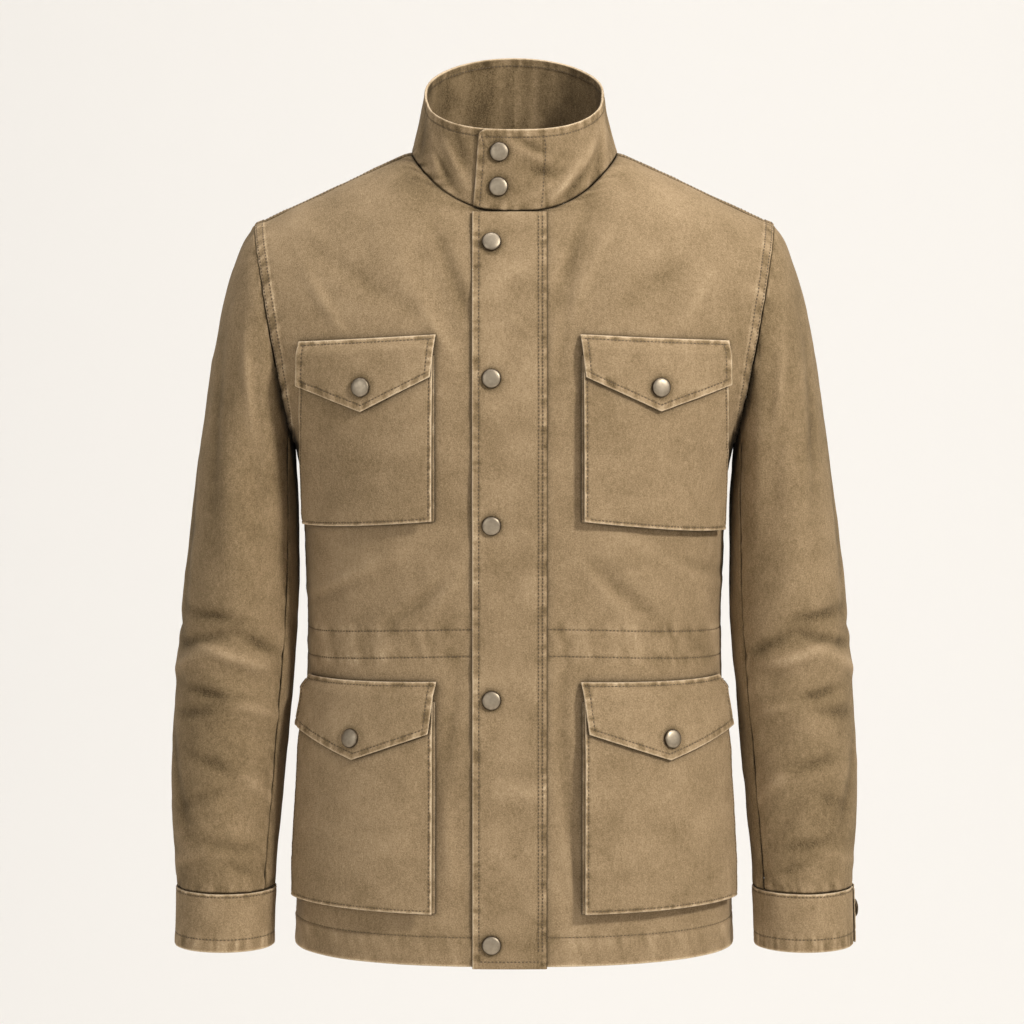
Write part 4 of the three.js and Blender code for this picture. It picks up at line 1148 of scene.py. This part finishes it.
def build_collar():
    start, lap = turn_of_x(COLLAR_END), turn_of_x(COLLAR_TAIL) - turn_of_x(COLLAR_END)
    turns = lerp(start, start + lap + 360, clustered(340, 560.0))
    shares = clustered(56, 76.0)
    turn, share = np.meshgrid(turns, shares)
    out = (COLLAR_LIFT - 0.2) * (1 - smooth((turn - start - lap) / 40)) + 0.2
    grid = collar_point(turn, share, out)
    corner = np.clip((turn - start) / 7, 0, 1)
    grid[..., 2] -= 7.5 * (1 - np.sqrt(1 - (1 - corner) ** 2)) * smooth((share - 0.55) / 0.45) ** 2
    lengths = edge_lengths(grid)
    run, foot = lengths["start"], lengths["bottom"]
    around = collar_around(turn)
    around = np.where(around > COLLAR_HALF_ROUND, around - 2 * COLLAR_HALF_ROUND, around)
    height = sum(2.1 * deep * fold_shape(around - ca, (share - ch) * COLLAR_HEIGHT, slope, long, wide)
                 for ca, ch, slope, long, wide, deep in COLLAR_CREASES)
    back = smooth((np.abs(around) - 120) / 40)
    waves = 0.9 * ripple(around, 16, 501) + 0.4 * ripple(around + 10 * share, 7, 502)
    height += back * waves * np.sin(np.pi * share)
    height += 0.3 * cloudy(around, share * COLLAR_HEIGHT, 15, 503)
    rise, edge_tone = hems(lengths, COLLAR_LINES, 0)
    # Painted shade: the whole collar is painted a step darker
    wear_and_shade = 0.16 * height - 0.13 + edge_tone
    foot_pucker = 0.4 * bell(foot, 6) * ripple(run, 5.5, 521)
    height += rise + foot_pucker - 0.7 * bell(foot, 0.8)
    # Painted shade: a dark line is painted along the sunk foot seam
    wear_and_shade += foot_pucker - 0.25 * bell(foot, 1.0)
    from_facing = around - COLLAR_FACING_AROUND
    facing_line = bell(from_facing, 0.9) * smooth((262 - run) / 10)
    height += -0.35 * facing_line + 0.22 * bell(from_facing, 5) * ripple(foot, 6, 541)
    # Painted shade: the sunk facing stitch line is painted darker
    wear_and_shade -= 0.2 * facing_line
    for s in COLLAR_SNAPS:
        distance = np.hypot(around - collar_around(turn_of_x(COLLAR_SNAP_X)), (share - s) * 72)
        outer_layer = smooth((200 - run) / 10)
        height -= 0.35 * bell(distance - 9.5, 3.5) * outer_layer
        # Painted shade: a darker ring is painted round each collar snap
        wear_and_shade -= 0.18 * bell(distance - 10, 2.2) * outer_layer
    outward = grid * np.array([1, 1, 0])
    grid = grid + grid_normals(grid, outward) * height[..., None]
    normals = grid_normals(grid, outward)
    inner_wear_and_shade = wear_and_shade - 0.2 - 0.15 * ripple(around + 6 * share, 11, 551) * back
    add_cloth("collar", grid, normals, DOUBLE, wear_and_shade, inner_wear_and_shade)
    thread = Stitches("collar")
    thread.edges(grid, normals, lengths, COLLAR_LINES)
    thread.edge(grid, normals, lengths, "start", COLLAR_FACING_LINE, 2, 8)
    thread.edge(grid - normals * DOUBLE, -normals, lengths, "top", COLLAR_RIM_LINE, 60, 60)
    thread.build()


build_collar()


# Pieces that lie on the front
def snap_dimple(x, z, places):
    """Cloth pressed down in a ring round each snap, with painted shade darkening the ring."""
    height, wear_and_shade = 0, 0
    for cx, cz in places:
        distance = np.hypot(x - cx, z - cz)
        height = height - 0.35 * bell(distance - 10, 3.5)
        wear_and_shade = wear_and_shade - 0.18 * bell(distance - 9.6, 1.8)
    return height, wear_and_shade


# Creases across the fly: slope, z, x
FLY_CREASES = [
    (38, -96, 8),
    (-34, -150, 4),
    (30, -214, 6),
    (-40, -330, 8),
    (34, -470, 6),
    (-30, -560, 4),
    (36, -690, 8),
]
FLY_LEFT_LINE = 6.0
FLY_RIGHT_LINES = (5.0, 8.6)
FLY_FOOT_LINE = 6.5


def build_fly():
    across = lerp(FLY_LEFT, FLY_RIGHT, clustered(40, FLY_RIGHT - FLY_LEFT))
    top = min(RING[np.argmin(np.abs(RING[:, 0])), 2], RING[0, 2]) - 1.6
    low_edge = HEM_Z - 1.5 + np.array([0, 0.6, 1.5, 3, 5])
    high_edge = top - np.array([3, 1.5, 0.6, 0])
    x, z = np.meshgrid(across, np.concatenate([low_edge, np.linspace(HEM_Z + 6, top - 5, 600), high_edge]))
    left, right = x - FLY_LEFT, FLY_RIGHT - x
    cloud = cloudy(x, z, 17, 621)
    rise, edge_tone = hemmed(left, z, FLY_LEFT_LINE, 611)
    # Painted shade: a negative rim darkens the sewn right edge, where it is tucked down
    rise_right, right_edge_tone = hemmed(right, z, FLY_RIGHT_LINES[0], 613, rim=-0.3)
    second = bell(right - FLY_RIGHT_LINES[1], 0.85)
    wave = 0.55 * ripple(z, 34, 601) + 0.35 * ripple(z, 13, 602)
    height = bell(left, 14) * wave * 0.7 + rise + rise_right
    height = height - 0.35 * second - 1.2 * bell(right, 0.8) + 0.35 * cloud
    creases = sum(0.55 * fold_shape(x - cx, z - cz, slope, 24, 5) for slope, cz, cx in FLY_CREASES)
    dip, dark = snap_dimple(x, z, [(FLY_SNAP_X, s) for s in FLY_SNAPS])
    height = height + creases + dip
    # Painted shade: the sunk second stitch row and the ring round each snap are painted darker
    wear_and_shade = 0.12 * cloud + edge_tone + right_edge_tone - 0.16 * second + 0.12 * creases + dark
    grid = lifted(x, z, FLY_LIFT + 0.15 + height)
    normals = grid_normals(grid, front_normal(x, z))
    inner = lifted(x, z, np.full_like(x, 0.75))
    thickness = np.sum((grid - inner) * normals, -1, keepdims=True)
    add_cloth("fly", grid, normals, np.maximum(thickness, 0.3), wear_and_shade)
    thread = Stitches("fly")
    lengths = edge_lengths(grid)
    thread.edge(grid, normals, lengths, "start", FLY_LEFT_LINE, 12, 3)
    for distance in FLY_RIGHT_LINES:
        thread.edge(grid, normals, lengths, "end", distance, 12, 3)
    thread.edge(grid, normals, lengths, "bottom", FLY_FOOT_LINE, 8, 4)
    thread.build()


build_fly()


def pocket_x(p, across, z):
    down = np.clip((p["top"] - z) / (p["top"] - p["bottom_out"]), 0, 1)
    outer = np.minimum(p["outer"] - p["taper"] * down, SIDE_LIMIT * half_at(z))
    return p["side"] * lerp(p["inner"], outer, across)


def pocket_bottom(p, across):
    return lerp(p["bottom_in"], p["bottom_out"], across)


def pocket_lift(p, z):
    return lerp(0.45, 1, smooth((p["top"] - z) / 70)) * p["depth"]


def hemmed_cover(node, x, z, lift, lines, seed, height, wear_and_shade, outer, thickness):
    """A pocket face or flap: a sheet above the front with turned and stitched edges."""
    rise, edge_tone = hems(edge_lengths(lifted(x, z, lift)), lines, seed)
    grid = lifted(x, z, lift + outer + height + rise)
    normals = grid_normals(grid, front_normal(x, z))
    add_cloth(node, grid, normals, thickness, wear_and_shade + edge_tone)
    thread = Stitches(node)
    thread.edges(grid, normals, edge_lengths(grid), lines)
    thread.build()


def pocket_face(name, p, seed):
    u, v = np.meshgrid(clustered(90, 116.0), clustered(100, 160.0))
    z = lerp(pocket_bottom(p, u), p["top"] - 14 - p["drop"] * u, v)
    x = pocket_x(p, u, z)
    height = 0.7 * cloudy(x + 0.3 * z, z, 38, seed) * np.sin(np.pi * u) + 0.25 * cloudy(x, z, 15, seed + 1)
    lift = pocket_lift(p, z)
    hemmed_cover("pocket_" + name, x, z, lift, POCKET_LINES, seed, height, 0.12 * height, CLOTH, CLOTH)


def pocket_gusset(name, p, seed):
    """Bellows round both sides and the bottom, pleated inwards half way out."""
    span = p["outer"] - p["inner"]
    a, b = GUSSET_INSET / span, 1 - GUSSET_INSET / span
    foot = lambda u: pocket_bottom(p, u) + GUSSET_INSET
    top = p["top"] - 16
    n = GUSSET_STEPS
    down = np.linspace(top, foot(a) + 4, n)
    along = np.linspace(a, b, n)
    up = np.linspace(foot(b) + 4, top - p["drop"], n)
    u = np.concatenate([np.full(n, a), along, np.full(n, b)])
    z = np.concatenate([down, foot(along), up])
    inward_u = np.concatenate([np.ones(n), np.linspace(1, -1, n) ** 9, -np.ones(n)])
    rounding = np.linspace(0, 1, 4)
    sides = np.zeros(n - len(rounding))
    inward_z = np.concatenate([sides, rounding, np.ones(n), rounding[::-1], sides])
    U, S = np.meshgrid(u, np.linspace(0, 1, GUSSET_ROWS))
    Z = np.repeat(z[None], len(S), 0)
    pleat = 22 * S - 18 * S ** 2 - 4 + 0.35 * ripple(Z + U * 90, 9, seed) * np.sin(np.pi * S)

    def layer(extra):
        depth = pleat + extra
        uu, zz = U + inward_u * depth / span, Z + inward_z * depth
        reach = pocket_lift(p, zz) - GUSSET_BASE - GUSSET_FACE
        return lifted(pocket_x(p, uu, zz), zz, GUSSET_BASE + reach * S)

    grid = layer(0)
    # Pale along the base fold; painted shade darkens the middle of the strip, where the pleat folds in
    wear_and_shade = 0.45 * bell(S, 0.12) - 0.1 - 0.3 * np.sin(np.pi * S) + 0.2 * ripple(Z + U * 90, 5, seed + 1)
    add_cloth("gusset_" + name, grid, grid - layer(CLOTH), 1.0, wear_and_shade)


def snap_place(p):
    x = (p["inner"] + p["outer"]) / 2 + p["snap_shift"]
    return p["side"] * x, p["top"] - p["flap_point"] + p["snap_up"]


def pocket_flap(name, p, seed):
    """A pointed flap from above the pocket's mouth, with a dimple round its snap."""
    u, v = np.meshgrid(np.sort(np.concatenate([clustered(90, 120.0), [0.5]])), clustered(60, 56.0))
    depth = lerp(p["flap_point"], p["flap_side"], np.abs(2 * u - 1))
    fall = v * depth
    z = p["top"] + 2 - p["drop"] * u - fall
    lean_share = p["corner"] + (3.5 - 3 * p["corner"]) * u + (2 * p["corner"] - 3.5) * u ** 2
    sideways = (2 * u - 1) * (FLAP_OVER + FLAP_WING * v) + p["lean"] * v * lean_share
    limit = (SIDE_LIMIT + 0.007) * half_at(z)
    x = np.clip(pocket_x(p, u, p["top"] - fall) + sideways * p["side"], -limit, limit)
    lift = 0.6 + (pocket_lift(p, z) + FLAP_OUT - DOUBLE - 0.6) * smooth(fall / 15 + 0.12)
    height = 0.55 * cloudy(x + 0.2 * z, z, 30, seed) * np.sin(np.pi * u) + 0.22 * cloudy(x, z, 13, seed + 1)
    height = height + 0.48 * bell(u - 0.5, 0.2) * v ** 2
    dip, dark = snap_dimple(x, z, [snap_place(p)])
    wear_and_shade = 0.12 * height + dark
    hemmed_cover("flap_" + name, x, z, lift, FLAP_LINES, seed, height + dip, wear_and_shade, DOUBLE, DOUBLE - 0.2)


for number, (name, p) in enumerate(POCKETS.items()):
    pocket_face(name, p, 700 + 40 * number)
    pocket_gusset(name, p, 715 + 40 * number)
    pocket_flap(name, p, 725 + 40 * number)


# Snaps: a domed cap with a dark rim, as radius share, height and wear from the middle outwards
SNAP_PROFILE = [
    (0, 3.0, 0.5),
    (0.3, 2.96, 0.48),
    (0.55, 2.8, 0.44),
    (0.75, 2.48, 0.38),
    (0.87, 2.05, 0.28),
    (0.93, 1.65, -0.05),
    (0.965, 1.25, -0.25),
    (1.0, 0.8, -0.2),
    (0.99, 0.0, -0.3),
]
SNAP_SEGMENTS = 48


def snap_cap(name, place, normal):
    turns = np.linspace(0, 2 * np.pi, SNAP_SEGMENTS, endpoint=False)
    normal = unit(np.asarray(normal, float))
    side = unit(np.cross(normal, [0.0, 0.0, 1.0]))
    up = np.cross(side, normal)
    points, wear_and_shade = [], []
    for r, h, w in SNAP_PROFILE:
        ring = (np.cos(turns)[:, None] * side + np.sin(turns)[:, None] * up) * (r * SNAP_RADIUS)
        points.append(place + normal * (h + SEAM_GAP) + ring)
        wear_and_shade.append(np.full(len(turns), w))
    points = np.concatenate(points)
    ids = np.arange(len(points)).reshape(len(SNAP_PROFILE), len(turns))
    ahead = np.roll(ids, -1, 1)
    faces = np.stack([ids[:-1], ids[1:], ahead[1:], ahead[:-1]], -1).reshape(-1, 4)
    obj = make_object("metal_" + name, points, faces, np.concatenate(wear_and_shade), METAL_LOOK)
    finish_piece(obj, name)


def snap_on(name, at, u, v, du, dv):
    """A snap where a surface is at (u, v), facing out of it."""
    across = at(u + du, v) - at(u - du, v)
    along = at(u, v + dv) - at(u, v - dv)
    snap_cap("snap_" + name, at(u, v), np.cross(across, along))


for k, z in enumerate(FLY_SNAPS):
    at = lambda a, b: lifted(a, b, FLY_LIFT + SNAP_LIFT)
    snap_on("fly_%d" % (k + 1), at, FLY_SNAP_X, z, SNAP_RADIUS, SNAP_RADIUS)
for k, share in enumerate(COLLAR_SNAPS):
    at = lambda a, b: collar_point(a, b, COLLAR_LIFT + SNAP_LIFT)
    snap_on("collar_%d" % (k + 1), at, turn_of_x(COLLAR_SNAP_X), share, 6, 0.1)
for name, p in POCKETS.items():
    at = lambda a, b: lifted(a, b, pocket_lift(p, b) + FLAP_OUT + 0.3)
    snap_on(name, at, *snap_place(p), SNAP_RADIUS, SNAP_RADIUS)
for side, label in ((1, "left"), (-1, "right")):
    at = lambda a, b: cuff_point(side, a * side, b, CUFF_LIFT + SNAP_LIFT)
    snap_on("cuff_" + label, at, (CUFF_END[label] + 13) * side, lerp(CUFF_BOTTOM, CUFF_TOP, 0.56), 8, 4)

# Pale floor that sweeps up into the backdrop
BEND_RADIUS = 2.2
bend = [math.radians(a) for a in range(6, 91, 6)]
bend_points = [(1.2 + BEND_RADIUS * math.sin(a), 0.75 - BEND_RADIUS * math.cos(a)) for a in bend]
sweep = [(-6.0, -1.45), (1.2, -1.45)] + bend_points + [(3.4, 6.0)]
sweep_points = [(x * 1000, y * 1000, z * 1000) for y, z in sweep for x in (-9.0, 9.0)]
sweep_faces = [(2 * k, 2 * k + 1, 2 * k + 3, 2 * k + 2) for k in range(len(sweep) - 1)]
PALE = (0.88, 0.855, 0.82, 1)
backdrop_look, _, _ = new_look("backdrop", Base_Color=PALE, Roughness=1.0, Specular_IOR_Level=0.0)
backdrop = make_object("backdrop", sweep_points, sweep_faces, material=backdrop_look)
backdrop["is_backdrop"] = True

# Soft studio light
AIM = (-0.002, 0.0, -0.326)


def area_light(name, place, size, power, colour=(1, 1, 1), aim=AIM):
    data = bpy.data.lights.new(name, "AREA")
    data.energy = power
    data.color = colour
    data.size = size
    light = bpy.data.objects.new(name, data)
    light.location = place
    direction = Vector(aim) - Vector(place)
    light.rotation_euler = direction.to_track_quat("-Z", "Y").to_euler()
    bpy.context.scene.collection.objects.link(light)


area_light("key", (2.6, -2.5, 1.9), 0.5, 146, (1.0, 0.985, 0.95))
area_light("fill", (-2.0, -3.2, 0.5), 2.2, 30, (1.0, 0.99, 0.97))
area_light("top", (0.2, 0.1, 2.2), 1.2, 12)
area_light("backdrop_light", (0, 0.6, 3.2), 4.0, 85, (1.0, 0.99, 0.995), (0, 2.6, -1.0))
world = bpy.data.worlds.new("studio")
world.use_nodes = True
world.node_tree.nodes["Background"].inputs["Color"].default_value = (0.96, 0.95, 0.93, 1)
world.node_tree.nodes["Background"].inputs["Strength"].default_value = 0.24
scene = bpy.context.scene
scene.world = world
scene.view_settings.view_transform = "Standard"
scene.render.resolution_x = 1024
scene.render.resolution_y = 1024

# The camera looks down 6 degrees from the front
DISTANCE = 4.2
ELEVATION = math.radians(6)
camera_data = bpy.data.cameras.new("camera")
camera_data.sensor_width = 36
camera_data.lens = 36 * DISTANCE / (1.024 * 0.905)
camera = bpy.data.objects.new("camera", camera_data)
camera.location = (AIM[0], AIM[1] - DISTANCE * math.cos(ELEVATION), AIM[2] + DISTANCE * math.sin(ELEVATION))
camera.rotation_euler = (math.radians(90) - ELEVATION, 0, 0)
scene.collection.objects.link(camera)
scene.camera = camera

{"cad": [list(corner) for corner in cad_box], "visual": [list(corner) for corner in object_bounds()]}
